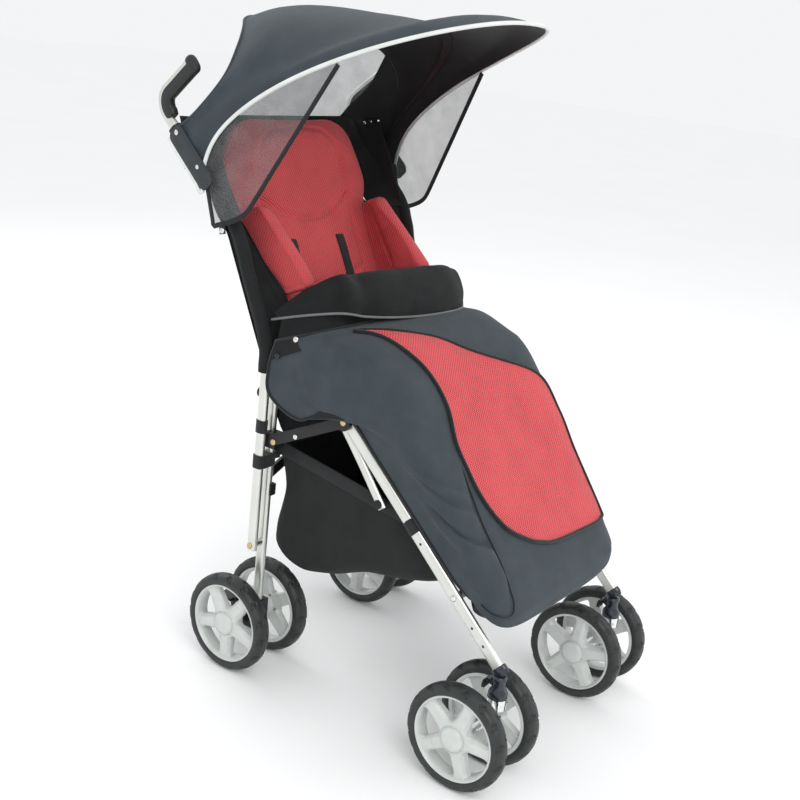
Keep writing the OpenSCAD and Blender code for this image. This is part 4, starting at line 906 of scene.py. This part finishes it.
bag_x = BAG_X * sin_b - np.sign(bend) * side_zone * (7 * arch(hem_share) - 2.5 * np.sin(hem_share * 26))
bag = join(bag_x, bag_yz)
cloth("basket_bag", bag[:BAG_SPLIT + 1], 1.4, BASKET_NET, SEAT, "hung", ["rear_leg_left", "rear_leg_right"],
      ["basket"])
cloth("basket_front", bag[BAG_SPLIT:], 1.4, BASKET_NET, BASKET_FRONT, "hung",
      ["front_leg_left", "front_leg_right"])
SPLIT_Y = hem[BAG_SPLIT, 0]
HEMS = (("basket_hem", SEAT, (-31, SPLIT_Y), (-33.8, 438), (193.5, -26, 428)),
        ("basket_front_hem", BASKET_FRONT, (SPLIT_Y, -336), (-333.8, 398), (201.5, -338, 400)))
for name, where, (rear_y, front_y), (y, z), (tab_x, tab_y, tab_z) in HEMS:
    hem_parts = []
    hem_y = np.linspace(rear_y, front_y, 20)
    hem_yz = np.stack([hem_y, 441 - 42 * (hem_y + 31) / -305], -1)
    for s in (1, -1):
        hem_parts.append(ribbon(join(s * HEM_X, hem_yz), 26, 3.6, X_UP))
        tab = along([[s * 180, tab_y, tab_z], [s * tab_x, tab_y + 1, tab_z + 1]], 5)
        hem_parts.append(ribbon(tab, 22, 3, Y_UP))
    hem_parts.append(ribbon(along([[-BAG_X, y, z], [0, y + 1, z - 6], [BAG_X, y, z]], 30), 24, 3.4, Y_UP))
    piece(name, hem_parts, WEBBING, where)

# Footrest: padded halves inside the leg cover
REST_IN, REST_OUT, REST_Y, REST_Z, REST_T = 10.0, 165.0, -487.0, 306.9, 9.0
rest_x, rest_y, *rest_heights = pillow((REST_OUT - REST_IN) / 2, 25.0, REST_T, 12.0, 31, 13)
for name, s in SIDES:
    mid_x = s * (REST_IN + REST_OUT) / 2
    faces = [np.stack([mid_x + rest_x, REST_Y + rest_y, REST_Z - REST_T / 2 + h], -1) for h in rest_heights]
    rest = piece("footrest_pad_" + name, [closed_pad(*faces, np.stack([rest_x, rest_y], -1))], BLACK,
                 name + "_footrest", ["footrest_" + name], False)
    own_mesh(rest)

# Leg cover: the solid's stations, joined by smooth curves
KNUCKLE, SPAN = np.array([-195.0, 543.0]), np.array([-361.0, 277.0])
REAR_SHARES = [(-0.418, 0.404), (-0.449, 0.224), (-0.429, 0.043), (-0.235, -0.055), (-0.064, 0.083),
               (0.055, 0.045), (0.194, -0.135), (0.388, -0.37), (0.568, -0.585), (0.705, -0.745),
               (0.784, -0.825), (0.79, -0.845)]
FRONT_SHARES = [(-0.166, 0.531), (0.028, 0.531), (0.208, 0.404), (0.374, 0.206), (0.526, -0.04),
                (0.651, -0.264), (0.762, -0.444), (0.867, -0.625), (0.956, -0.787), (1, -0.931),
                (0.97, -1), (0.823, -0.978)]
WIDTHS = [0.992, 1, 1, 0.99, 0.965, 0.935, 0.908, 0.893, 0.885, 0.876, 0.845, 0.81]
STATIONS = np.arange(12.0)
COVER_X, POWER = 238, 0.45


def cover_at(k, t, off=0.0):
    """A point of the leg cover at a station and a share of its columns, off millimetres outside it."""
    k, t = np.broadcast_arrays(np.asarray(k, float), np.asarray(t, float))

    def raw(k, t):
        a = np.radians(superellipse_angle(t, POWER))
        rear = KNUCKLE + spline(STATIONS, REAR_SHARES, k) * SPAN
        front = KNUCKLE + spline(STATIONS, FRONT_SHARES, k) * SPAN
        full = 1 + 0.11 * np.interp(k, [0.5, 2, 8.4, 10], [0, 1, 1, 0]) * np.sin(2 * a) ** 2
        x = COVER_X * spline(STATIONS, WIDTHS, k) * full * np.sign(a) * np.abs(np.sin(a)) ** POWER
        return join(x, mix(rear, front, full * np.abs(np.cos(a)) ** POWER))

    p = raw(k, t)
    if np.any(off):
        e = 0.02
        dk = raw(np.minimum(k + e, 11), t) - raw(np.maximum(k - e, 0), t)
        dt = raw(k, np.minimum(t + e, 1)) - raw(k, np.maximum(t - e, -1))
        p = p + np.broadcast_to(off, k.shape)[..., None] * unit(np.cross(dk, dt))
    return p


def between(k, low, low_full, high_full, high):
    """Rises from low to low_full and falls from high_full to high."""
    return smooth(k, low, low_full) * (1 - smooth(k, high_full, high))


# Small wrinkles, folds on the near side (station, lean, depth, reach), soft creases and sewn seams
NEAR_FOLDS = ((4.72, 1.4, 5.4, 0.58), (5.25, 1.8, 6.4, 0.6), (6.3, 0.9, 8.0, 0.68))
SOFT_CREASES = ((7.55, 2.6, -0.27), (7.9, 2.2, 0.02))
SEAM_K = [4.3, 5.03, 5.69, 6.38, 7.03, 7.76, 8.2, 8.53]
SEAM_T = [-0.38, -0.395, -0.412, -0.415, -0.415, -0.427, -0.433, -0.455]
SEAM_W, SEAM_DEPTH = 0.014, 2.4
cover_k, cover_t = np.linspace(0, 11, 166), np.linspace(-1, 1, 141)
kk, tt = np.meshgrid(cover_k, cover_t, indexing="ij")
far_t = np.abs(tt)
relief = (1.8 * np.sin(kk * 4.1 + tt * 9) * bell(far_t - 0.62, 0.25)
          + 2.4 * np.sin(kk * 2.3 - tt * 7 + 1) * bell(kk - 6.5, 2.4) * bell(far_t - 0.5, 0.2)
          + 1.6 * np.sin(kk * 9 + tt * 3) * smooth(kk, 8, 10.5))
relief *= 1 - bell(far_t - 1, 0.12)
for fold_k, lean, depth, reach in NEAR_FOLDS:
    past = kk - fold_k - lean * (tt + 0.43)
    relief += (depth * (0.75 * bell(past - 0.32, 0.26) - bell(past, 0.13))
               * between(-tt, 0.405, 0.44, reach - 0.1, reach + 0.06))
for fold_k, lean, place in SOFT_CREASES:
    relief += 3.2 * bell(kk - fold_k - lean * (tt - place), 0.3) * bell(tt - place, 0.12)
sewn = (bell(tt - spline(SEAM_K, SEAM_T, kk), SEAM_W) * between(kk, 4.2, 4.8, 8.5, 8.9)
        + bell(tt - 0.5, SEAM_W) * between(kk, 6.8, 7.4, 8.5, 8.9)
        + bell(tt + 0.83 + 0.02 * (kk - 2), SEAM_W) * between(kk, 1.0, 1.4, 2.6, 3.0))
cloth("leg_cover", cover_at(kk, tt, relief - SEAM_DEPTH * sewn), 4.5, [SLATE, LINING], COVER, "hung",
      ["front_leg_left", "front_leg_right"], ["footmuff_shell"], flip=True, inner=1)
rim_path = np.concatenate([cover_at(cover_k[::-1], -1.0), cover_at(0.0, cover_t), cover_at(cover_k, 1.0),
                           cover_at(11.0, cover_t[::-1])])
piece("leg_cover_binding", [tube(apart(rim_path, 0.5)[:-1], 3.2, closed=True)], BINDING, COVER)

# Dark stitched seam where the front of the cover meets its near side
seam_line = cover_at(np.r_[SEAM_K, 8.64, 8.72, 8.74], np.r_[SEAM_T, -0.525, -0.58, -0.66], 0.2)
piece("cover_seam", [tube(along(seam_line, 60), 1.6)], BINDING, COVER)

# Red mesh panel: a sweep from the lap down to the far side
PANEL_START, PANEL_END = 0.5, 7.2
LEFT_K = [PANEL_START, 1, 1.58, 2.29, 3.09, 3.88, 4.4, 4.81, 5.4, 5.83, 6.31, 6.6, 6.83, 7.0, 7.1, 7.17,
          PANEL_END]
LEFT_T = [-0.42, -0.375, -0.335, -0.3, -0.305, -0.36, -0.362, -0.36, -0.345, -0.325, -0.27, -0.205, -0.138,
          -0.06, 0.0, 0.1, 0.2]
RIGHT_K = [PANEL_START, 1, 1.5, 2, 3, 4, 5, 6, 7.0, PANEL_END]
RIGHT_T = [-0.40, -0.25, -0.07, 0.06, 0.41, 0.47, 0.475, 0.48, 0.485, 0.485]
panel_k = np.r_[np.linspace(PANEL_START, 6.6, 74), np.linspace(6.65, PANEL_END, 23)]
panel_u = np.linspace(0, 1, 61)
left_line, right_line = spline(LEFT_K, LEFT_T, panel_k), spline(RIGHT_K, RIGHT_T, panel_k)
panel_t = left_line[:, None] + (right_line - left_line)[:, None] * panel_u
inside = np.minimum(np.minimum(panel_u, 1 - panel_u) * (right_line - left_line)[:, None] * 4,
                    np.minimum(panel_k - PANEL_START, PANEL_END - panel_k)[:, None] * 0.6)
swell = 3.4 + 2.6 * smooth(inside, 0, 0.35) + 0.5 * np.outer(np.sin(panel_k * 5), np.sin(panel_u * 9))
flat_t = np.linspace(-0.7, 0.7, 141)
flat_run = np.stack([run_of(line) for line in cover_at(panel_k[:, None], flat_t)])
flat_run -= flat_run[:, 70:71]
across_run = np.stack([np.interp(t, flat_t, run) for t, run in zip(panel_t, flat_run)])
down_run = run_of(cover_at(panel_k, 0.1))
panel_uv = np.stack([across_run, np.broadcast_to(down_run[:, None], across_run.shape)], -1)
cloth("red_panel", cover_at(panel_k[:, None], panel_t, swell), 2.6, RED, COVER, "stretched", ["leg_cover"],
      ["footmuff_panel"], uv=panel_uv, flip=True)
ring_k = np.concatenate([panel_k, np.full(20, PANEL_END), panel_k[::-1], np.full(6, PANEL_START)])
ring_t = np.concatenate([left_line, np.linspace(left_line[-1], right_line[-1], 20), right_line[::-1],
                         np.linspace(right_line[0], left_line[0], 6)])
ring = along(apart(cover_at(ring_k, ring_t, 3.2), 0.8), 260)
piece("panel_piping", [tube(ring[:-1], 3.6, closed=True)], BINDING, COVER)

# Lap flap: a soft roll that is turned back over the top edge of the leg cover
FLAP_X = [-221.0, -208.0, -185.0, -120.0, 0.0, 100.0, 165.0, 195.0, 208.0]
FLAP_EDGE = [(-14, 684), (-62, 699), (-112, 712), (-145, 706), (-164, 695), (-170, 692), (-158, 688),
             (-144, 686), (-134, 692)]
FLAP_RIDGE = [(-10, 691), (-52, 732), (-94, 766), (-112, 776), (-122, 777), (-124, 771), (-124, 762),
              (-126, 742), (-128, 712)]
flap_x = np.linspace(FLAP_X[0], FLAP_X[-1], 65)
edge_yz, ridge_yz = spline(FLAP_X, FLAP_EDGE, flap_x), spline(FLAP_X, FLAP_RIDGE, flap_x)
tail_yz = ridge_yz + (1 - 0.8 * smooth(np.abs(flap_x), 150, 212))[:, None] * [34.0, -42.0]
rise = np.linalg.norm(ridge_yz - edge_yz, axis=-1, keepdims=True)
front_yz = (edge_yz + ridge_yz) / 2 + 0.16 * rise * [-0.85, 0.3]
flap_v = np.linspace(0, 3, 31)
flap_lines = np.stack([edge_yz, front_yz, ridge_yz, tail_yz]).reshape(4, -1)
flap_yz = spline([0, 1, 2, 3], flap_lines, flap_v).reshape(31, 65, 2)
v = flap_v[:, None]
folds = arch(v / 3) * (2.2 * np.sin(flap_x * 0.055 + v * 1.3) * smooth(flap_x, 20, 140)
                       + 0.9 * np.sin(flap_x * 0.031 - v))
flap_top = join(flap_x, flap_yz + folds[..., None] * [-0.6, 0.8])
flap_low = join(flap_x, loft(edge_yz, tail_yz, flap_v / 3) + [2.0, -2.0])
stuffed("lap_flap", flap_top, flap_low, FLEECE, COVER, fill=0.4, pressure=2.0, cap=3,
        replaces=["footmuff_flap"])

# Gusset that closes the gap between the flap and the cover, with a panel at each end; black as lining and as
# painted shade under the flap
gusset_x = flap_x[1:-1]
gusset_depth = (1 - (np.abs(gusset_x) / (COVER_X * WIDTHS[0])) ** (2 / POWER)) ** (POWER / 2)
cover_rear, cover_front = [KNUCKLE + np.array(shares[0]) * SPAN for shares in (REAR_SHARES, FRONT_SHARES)]
gusset_foot = mix(cover_rear, cover_front, gusset_depth) + [2.0, -3.0]
drop = np.linspace(0, 1, 9)
sagging = arch(drop)[:, None, None] * [7.0, -3.0]
gusset = join(gusset_x, loft(edge_yz[1:-1] + [6.0, 1.0], gusset_foot, drop) + sagging)
gusset_grids, gusset_parts = [gusset], [shell(gusset, 2, flip=True)]
for s, column in ((-1, 0), (1, -1)):
    rim_line = cover_at(0.0, s * np.linspace(1, 0.6, 9)) + [-2.0 * s, 0, -4.0]
    end_panel = mix(gusset[:, column][:, None], rim_line[:, None], np.linspace(0, 1, 7))
    gusset_grids.append(end_panel)
    gusset_parts.append(shell(end_panel, 2, flip=s > 0))
gusset_sheet = piece("flap_gusset_and_shade", gusset_parts, BLACK, COVER)
cuts = [cut(g) for g in gusset_grids]
piece("flap_piping", [tube(along(flap_top[0] + [0, -1.5, 0.5], 90), 2.4)], GREY_PIPING, COVER)

# Elastic patch and snaps under the flap's near end
elastic = cover_at(np.linspace(0.0, 0.75, 14)[:, None], np.linspace(-0.985, -0.74, 14), 2.4)
piece("elastic_patch", [shell(elastic, 2, flip=True)], BLACK, COVER)
snaps = []
for k, t in ((0.12, -0.735), (0.68, -0.93)):
    foot, tip = cover_at(k, t, 2.4), cover_at(k, t, 10.0)
    snaps.append(stud(foot, tip - foot, 5.6, 3.4, len(snaps)))
piece("cover_snaps", snaps, [STEEL, PLASTIC], COVER)


# Wheels: one rim and one tyre, laid on the hubs of the solids
def turned(part, angle):
    c, s = math.cos(angle), math.sin(angle)
    spin = np.array([[1, 0, 0], [0, c, -s], [0, s, c]])
    return dict(part, v=part["v"] @ spin.T)


BARREL = [(69.5, -13), (70, -13.8), (73.5, -14.2), (76.0, -13.6), (76.0, 12.8), (75.2, 14.4), (73.4, 14.6),
          (72.2, 13.4), (71.4, 11.5), (70.2, 9.5), (69.6, 6), (69.5, -13)]
HUB = [(5.1, -20), (15, -20), (19, -19), (20.5, -16), (21, -8), (21, 6), (24.5, 8.0), (26.0, 10.5),
       (25.6, 12.4), (24.2, 13.2), (23.4, 12.6), (22.9, 11.4), (22.3, 11.6), (21.9, 14.6), (20.6, 17.6),
       (17, 19.4), (10, 20.3), (3, 20.6)]
SPOKES, SPOKE_IN, SPOKE_OUT, SPOKE_BACK = 5, 19, 71.5, -7.0
HALF_ACROSS = np.array([-1, -0.97, -0.86, -0.72, -0.56, -0.46, -0.3, 0])
HALF_RIDGE = np.array([-6.5, -5.6, -4.8, -0.4, 1.0, 1.3, 1.4, 1.4])
SPOKE_ACROSS = np.r_[HALF_ACROSS, -HALF_ACROSS[-2::-1]]
SPOKE_RIDGE = np.r_[HALF_RIDGE, HALF_RIDGE[-2::-1]]


def rim_patches():
    parts = [lathe(BARREL, (0, 0, 0), X_UP, 96, capped=False), lathe(HUB, (0, 0, 0), X_UP, 48)]
    r = np.linspace(SPOKE_IN, SPOKE_OUT, 15)[:, None]
    out = (r - SPOKE_IN) / 52
    half = 14.6 - 2.6 * out + 5.5 * bell(r - 72, 6.5) + 4.0 * bell(r - SPOKE_IN, 6)
    face = 9.6 + 3.2 * np.maximum(0, 1 - out) ** 1.5
    x = face + SPOKE_RIDGE * smooth(r, 21, 30) * (1 - 0.6 * smooth(r, 64, 71))
    z = np.broadcast_to(r, x.shape)
    top = np.stack([x, half * SPOKE_ACROSS, z], -1)
    back = np.stack([np.full(x.shape, SPOKE_BACK), 0.94 * half * SPOKE_ACROSS, z], -1)
    ring = np.concatenate([top, back[:, ::-1]], 1) * MM
    uv = arc_uv(np.concatenate([ring, ring[:, :1]], 1))
    spoke = patch(ring, *quads(*ring.shape[:2], uv, True, True))
    return parts + [turned(spoke, TURN * k / SPOKES) for k in range(SPOKES)]


WALL = [(76.0, -12.5), (76.8, -14.6), (79, -15.6), (82, -16), (84.5, -15.9)]
SHOULDER = [(86, -15.6), (89.4, -14.2), (92.0, -11.4), (93.8, -7.6), (94.5, -3.8), (94.6, 0)]
BEAD = [(75.9, 8), (75.9, -8)]
LUGS, TYRE_STEPS = 16, 288


def tyre_patches():
    half = np.concatenate([WALL, along(SHOULDER, 15)])
    profile = np.concatenate([half, half[-2::-1] * [1, -1], BEAD])
    a = np.arange(TYRE_STEPS) * TURN / TYRE_STEPS
    r, h = profile[:, :1], profile[:, 1:]
    far = np.abs(h)
    swept = LUGS * (a + 0.05 * np.sin(far * 0.42) + 0.011 * far) + np.where(h > 0, math.pi / 2, 0)
    first = smooth(np.cos(swept), 0.78, 0.93) * smooth(r, 85.5, 87.5) * smooth(far, 1.6, 3.2)
    second = smooth(np.cos(swept + 1.2), 0.9, 0.97) * smooth(r, 88, 91) * smooth(far, 5.0, 6.5)
    radius = r - 2.3 * first - 1.2 * second
    g = np.stack([np.broadcast_to(h, radius.shape), radius * np.sin(a), radius * np.cos(a)], -1) * MM
    uv = arc_uv(np.concatenate([g, g[:, :1]], 1))
    faces, corners = quads(len(g) + 1, TYRE_STEPS, np.concatenate([uv, uv[:1]]), wrap=True)
    tyre = patch(g, [[k % (len(g) * TYRE_STEPS) for k in f] for f in faces], corners)
    # Faces in the grooves take the second, darker material: painted shade in the tread's grooves
    return [dict(tyre, m=(first + second > 0.4).astype(int).ravel().tolist())]


def placed(part, s, angle, centre):
    """A wheel's part turned, mirrored where s is -1, and set on its hub."""
    part = turned(part, angle)
    moved = part["v"] * [s, 1, 1] + centre
    if s > 0:
        return dict(part, v=moved)
    corners, start = [], 0
    for f in part["f"]:
        corners += part["uv"][start:start + len(f)][::-1]
        start += len(f)
    return dict(part, v=moved, f=[f[::-1] for f in part["f"]], uv=corners)


PHASE = {"rear_left": 0.3, "rear_right": 0.63, "front_left": 0.95, "front_right": 0.32}
INNER_PHASE = 0.4
wheel_kinds = (("rim", rim_patches(), [RIM]), ("tyre", tyre_patches(), [TYRE, GROOVE_SHADE]))
for end in ("rear", "front"):
    for name, s in SIDES:
        for pair, face in (("outer", s), ("inner", -s)):
            label = f"{end}_{name}_{pair}"
            low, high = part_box(label + "_rim")
            hub = np.array((low + high) / 2)
            angle = PHASE[f"{end}_{name}"] + (INNER_PHASE if pair == "inner" else 0)
            for kind, parts, mats in wheel_kinds:
                parts = [placed(p, face, angle, hub) for p in parts]
                piece(f"{label}_{kind}_detail", parts, mats, label + "_wheel", [f"{label}_{kind}"])

# Fasteners and small fittings; a rivet has a place, a radius, a height and a material
LEG_SLOPE = math.atan2(331, 366)
LEG_RUN = np.array([0, -math.cos(LEG_SLOPE), -math.sin(LEG_SLOPE)])
LEG_UP = (0, -math.sin(LEG_SLOPE), math.cos(LEG_SLOPE))
LEG_TOP = np.array([207.5, -195.0, 543.0])
RIVETS = (((222.2, -94, 487), 5.2, 3, 0), ((222.2, -197, 544), 6.2, 3.2, 1), ((237.2, -20, 253), 6, 3.4, 1),
          ((222.3, -43, 462), 6.4, 3, 1))
link = along([[203.0, -186, 529], [203.0, -222, 487], [203.0, -285, 408]], 12)
loop = along([[184.0, -276, 411], [200.0, -277, 413], [209.5, -278, 415]], 8)
bolt = join(213.6, (LEG_TOP + 352 * LEG_RUN)[1:])
band = along([LEG_TOP + (214 + k) * LEG_RUN for k in (-13, 0, 13)], 6)
cuff_high = along([[230, -20, 476], [230, -20, 500]], 4)
cuff_low = along([[216, -20, 408], [216.5, -20, 433]], 4)
for name, s in SIDES:
    side, leg = name + "_side", name + "_front_leg"
    heads = [stud(mirrored(place, s), (s, 0, 0), *size) for place, *size in RIVETS]
    piece("side_rivets_" + name, heads, [STEEL, BRASS], side)
    piece("leg_link_" + name, [ribbon(mirrored(link, s), 16.5, 9, X_UP)], ALUMINIUM, leg)
    piece("link_loop_" + name, [ribbon(mirrored(loop, s), 18, 16, Y_UP)], WEBBING, leg)
    piece("leg_bolt_" + name, [stud(mirrored(bolt, s), (s, 0, 0), 5.8, 3.4)], STEEL, leg)
    piece("leg_band_" + name, [sweep(mirrored(band, s), oval(7.8, 13.4, 24), up=LEG_UP)], WEBBING, leg)
    cuffs = [sweep(mirrored(cuff_high, s), oval(8.8, 12, 24), up=Y_UP),
             sweep(mirrored(cuff_low, s), oval(22.6, 12.2, 32, 0.5), up=Y_UP)]
    piece("tube_bands_" + name, cuffs, WEBBING, side)

# Caster heads: a wedge on the foot of the leg, and a flared collar over the fork's stem
FOOT = np.array([207.5, -561.0, 212.0])
COLLAR = [(2, 205), (9.5, 205), (11.6, 203.6), (12.4, 200), (11.6, 196), (11.2, 188), (12.2, 182),
          (15.2, 177), (16.6, 173.5), (16.8, 169), (16.0, 166.4), (13, 166), (2, 166)]
WASHER = [(8, 162.4), (15.8, 162.4), (16.6, 163.2), (16.6, 164.6), (15.8, 165.4), (8, 165.4)]
sock = along([FOOT + k * LEG_RUN for k in (-9, -2, 7)], 14)
taper = np.interp(np.linspace(0, 1, 14), [0, 0.08, 0.5, 1], [0.97, 1.04, 1.08, 0.9])
web = along([[207.5, -561.0, 206.0], [207.5, -552.0, 196.0], [207.5, -545.0, 187.0]], 8)
for name, s in SIDES:
    stand = row(mirrored(FOOT * [1, 1, 0], s))
    head = [sweep(mirrored(sock, s), oval(8.6, 14.6, 28), up=LEG_UP, scale=taper),
            lathe(COLLAR, stand, Z_UP, 36), sweep(mirrored(web, s), oval(6, 8.5, 16), up=(0, -0.6, 0.8))]
    piece("caster_head_detail_" + name, head, NAVY, name + "_front_leg", ["caster_head_" + name])
    piece("caster_washer_" + name, [lathe(WASHER, stand, Z_UP, 36)], CHROME, name + "_caster")

# Handle grips: a rubber strip along the inner side of each handle, and a round cap on its end
BEND_MID, BEND_R = np.array([201.2, 1028.4]), 34.0
END_RUN = np.array([-0.755, 0.656])
STRIP = np.array([(8.0, 1.5), (8.4, 6), (9.2, 11), (9.4, 15.5), (8.4, 19.5), (5.4, 22.4), (0, 23.4)])
CAP_RUN = np.array([-8, -3, 0, 2.4, 4.4, 5.8, 6.6])
CAP_SCALE = [0.97, 1, 0.99, 0.94, 0.84, 0.66, 0.4]
strip = np.concatenate([STRIP, STRIP[-2::-1] * [-1, 1]])
bend_turn = np.radians(np.linspace(-45.96, 49.05, 26))
spokes = np.stack([np.cos(bend_turn), np.sin(bend_turn)], -1)
bend_yz = BEND_MID + BEND_R * spokes
grip_yz = np.concatenate([bend_yz[0] + np.linspace(-9, -1.5, 4)[:, None] * PLATE_RUN, bend_yz,
                          bend_yz[-1] + np.linspace(3, 79, 20)[:, None] * END_RUN])
grip_line = join(230 + 0.0875 * (grip_yz[:, 1] - 624), grip_yz)
inward = join(0.0, -np.concatenate([np.repeat(spokes[:1], 4, 0), spokes, np.repeat(spokes[-1:], 20, 0)]))
grip_ease = np.interp(np.arange(50), [0, 3, 49], [0.86, 1, 1])
cap_line = grip_line[-1] + 6.8 * inward[-1] + CAP_RUN[:, None] * np.r_[0.06, END_RUN]
for name, s in SIDES:
    rubber = [sweep(mirrored(grip_line, s), strip, up=inward, scale=grip_ease),
              sweep(mirrored(cap_line, s), oval(9.6, 17.4, 36, 0.75), up=inward[-1], scale=CAP_SCALE)]
    piece("grip_" + name, rubber, RUBBER, name + "_side", ["handle_grip_" + name])

# Looks of the solids that show as they are
LOOKS = (("push_tube", ALUMINIUM), ("rear_leg", ALUMINIUM), ("front_leg", ALUMINIUM), ("caster_fork", CHROME),
         ("brace_pivot", CHROME), ("brace_bar", COATED), ("seat_rail", COATED))
for name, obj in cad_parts.items():
    if obj.hide_render:
        continue
    obj.data.materials.clear()
    obj.data.materials.append(next((m for key, m in LOOKS if name.startswith(key)), PLASTIC))
    if not name.startswith("push_tube"):
        bevel = obj.modifiers.new("soft edge", "BEVEL")
        bevel.width = 0.0009
        bevel.segments = 2
        bevel.limit_method = "ANGLE"
        bevel.angle_limit = math.radians(40)


# Floor, light and camera
def linked(name, data):
    obj = bpy.data.objects.new(name, data)
    bpy.context.scene.collection.objects.link(obj)
    return obj


def lamp(name, place, target, size, power):
    data = bpy.data.lights.new(name, "AREA")
    data.size = size
    data.energy = power
    obj = linked(name, data)
    obj.location = place
    obj.rotation_mode = "QUATERNION"
    obj.rotation_quaternion = (Vector(target) - Vector(place)).to_track_quat("-Z", "Y")


FLOOR = 20
floor_mesh = bpy.data.meshes.new("floor")
floor_corners = [(-FLOOR, -FLOOR, 0), (FLOOR, -FLOOR, 0), (FLOOR, FLOOR, 0), (-FLOOR, FLOOR, 0)]
floor_mesh.from_pydata(floor_corners, [], [(0, 1, 2, 3)])
floor_look = Look("pale_floor", (0.985,) * 3, 0.9)
floor_look.colour(floor_look.noise(1.5, 2.0), 0.3, 0.7, (0.975,) * 3, (0.99,) * 3)
floor_mesh.materials.append(floor_look.mat)
linked("floor", floor_mesh)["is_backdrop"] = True

world = bpy.data.worlds.new("studio")
bpy.context.scene.world = world
world.use_nodes = True
world.node_tree.nodes["Background"].inputs[0].default_value = (0.98, 0.99, 1.0, 1)
world.node_tree.nodes["Background"].inputs[1].default_value = 0.92
bpy.context.scene.view_settings.view_transform = "Standard"
lamp("key", (-2.2, -2.6, 3.2), (0, 0, 0.6), 2.2, 62)
lamp("fill", (2.6, -2.4, 2.0), (0, 0, 0.6), 2.6, 16)
lamp("rear", (0.6, 3.0, 2.8), (0, 0, 0.8), 2.4, 30)

# The camera's turn round the part, its height and its roll
AZIMUTH, ELEVATION, ROLL = np.radians([-55.557, 17.576, 6.573])
camera = bpy.data.cameras.new("camera")
camera.sensor_width = 36
camera.lens = 53.554
camera_obj = linked("camera", camera)
backward = np.array([math.sin(AZIMUTH) * math.cos(ELEVATION), -math.cos(AZIMUTH) * math.cos(ELEVATION),
                     math.sin(ELEVATION)])
level = unit(np.cross(-backward, Z_UP))
upright = np.cross(level, -backward)
pose = np.eye(4)
pose[:3, 0] = math.cos(ROLL) * level + math.sin(ROLL) * upright
pose[:3, 1] = math.cos(ROLL) * upright - math.sin(ROLL) * level
pose[:3, 2] = backward
pose[:3, 3] = row([-1762.93, -1365.52, 1208.24])
camera_obj.matrix_world = Matrix(pose.tolist())
bpy.context.scene.camera = camera_obj

low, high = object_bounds()
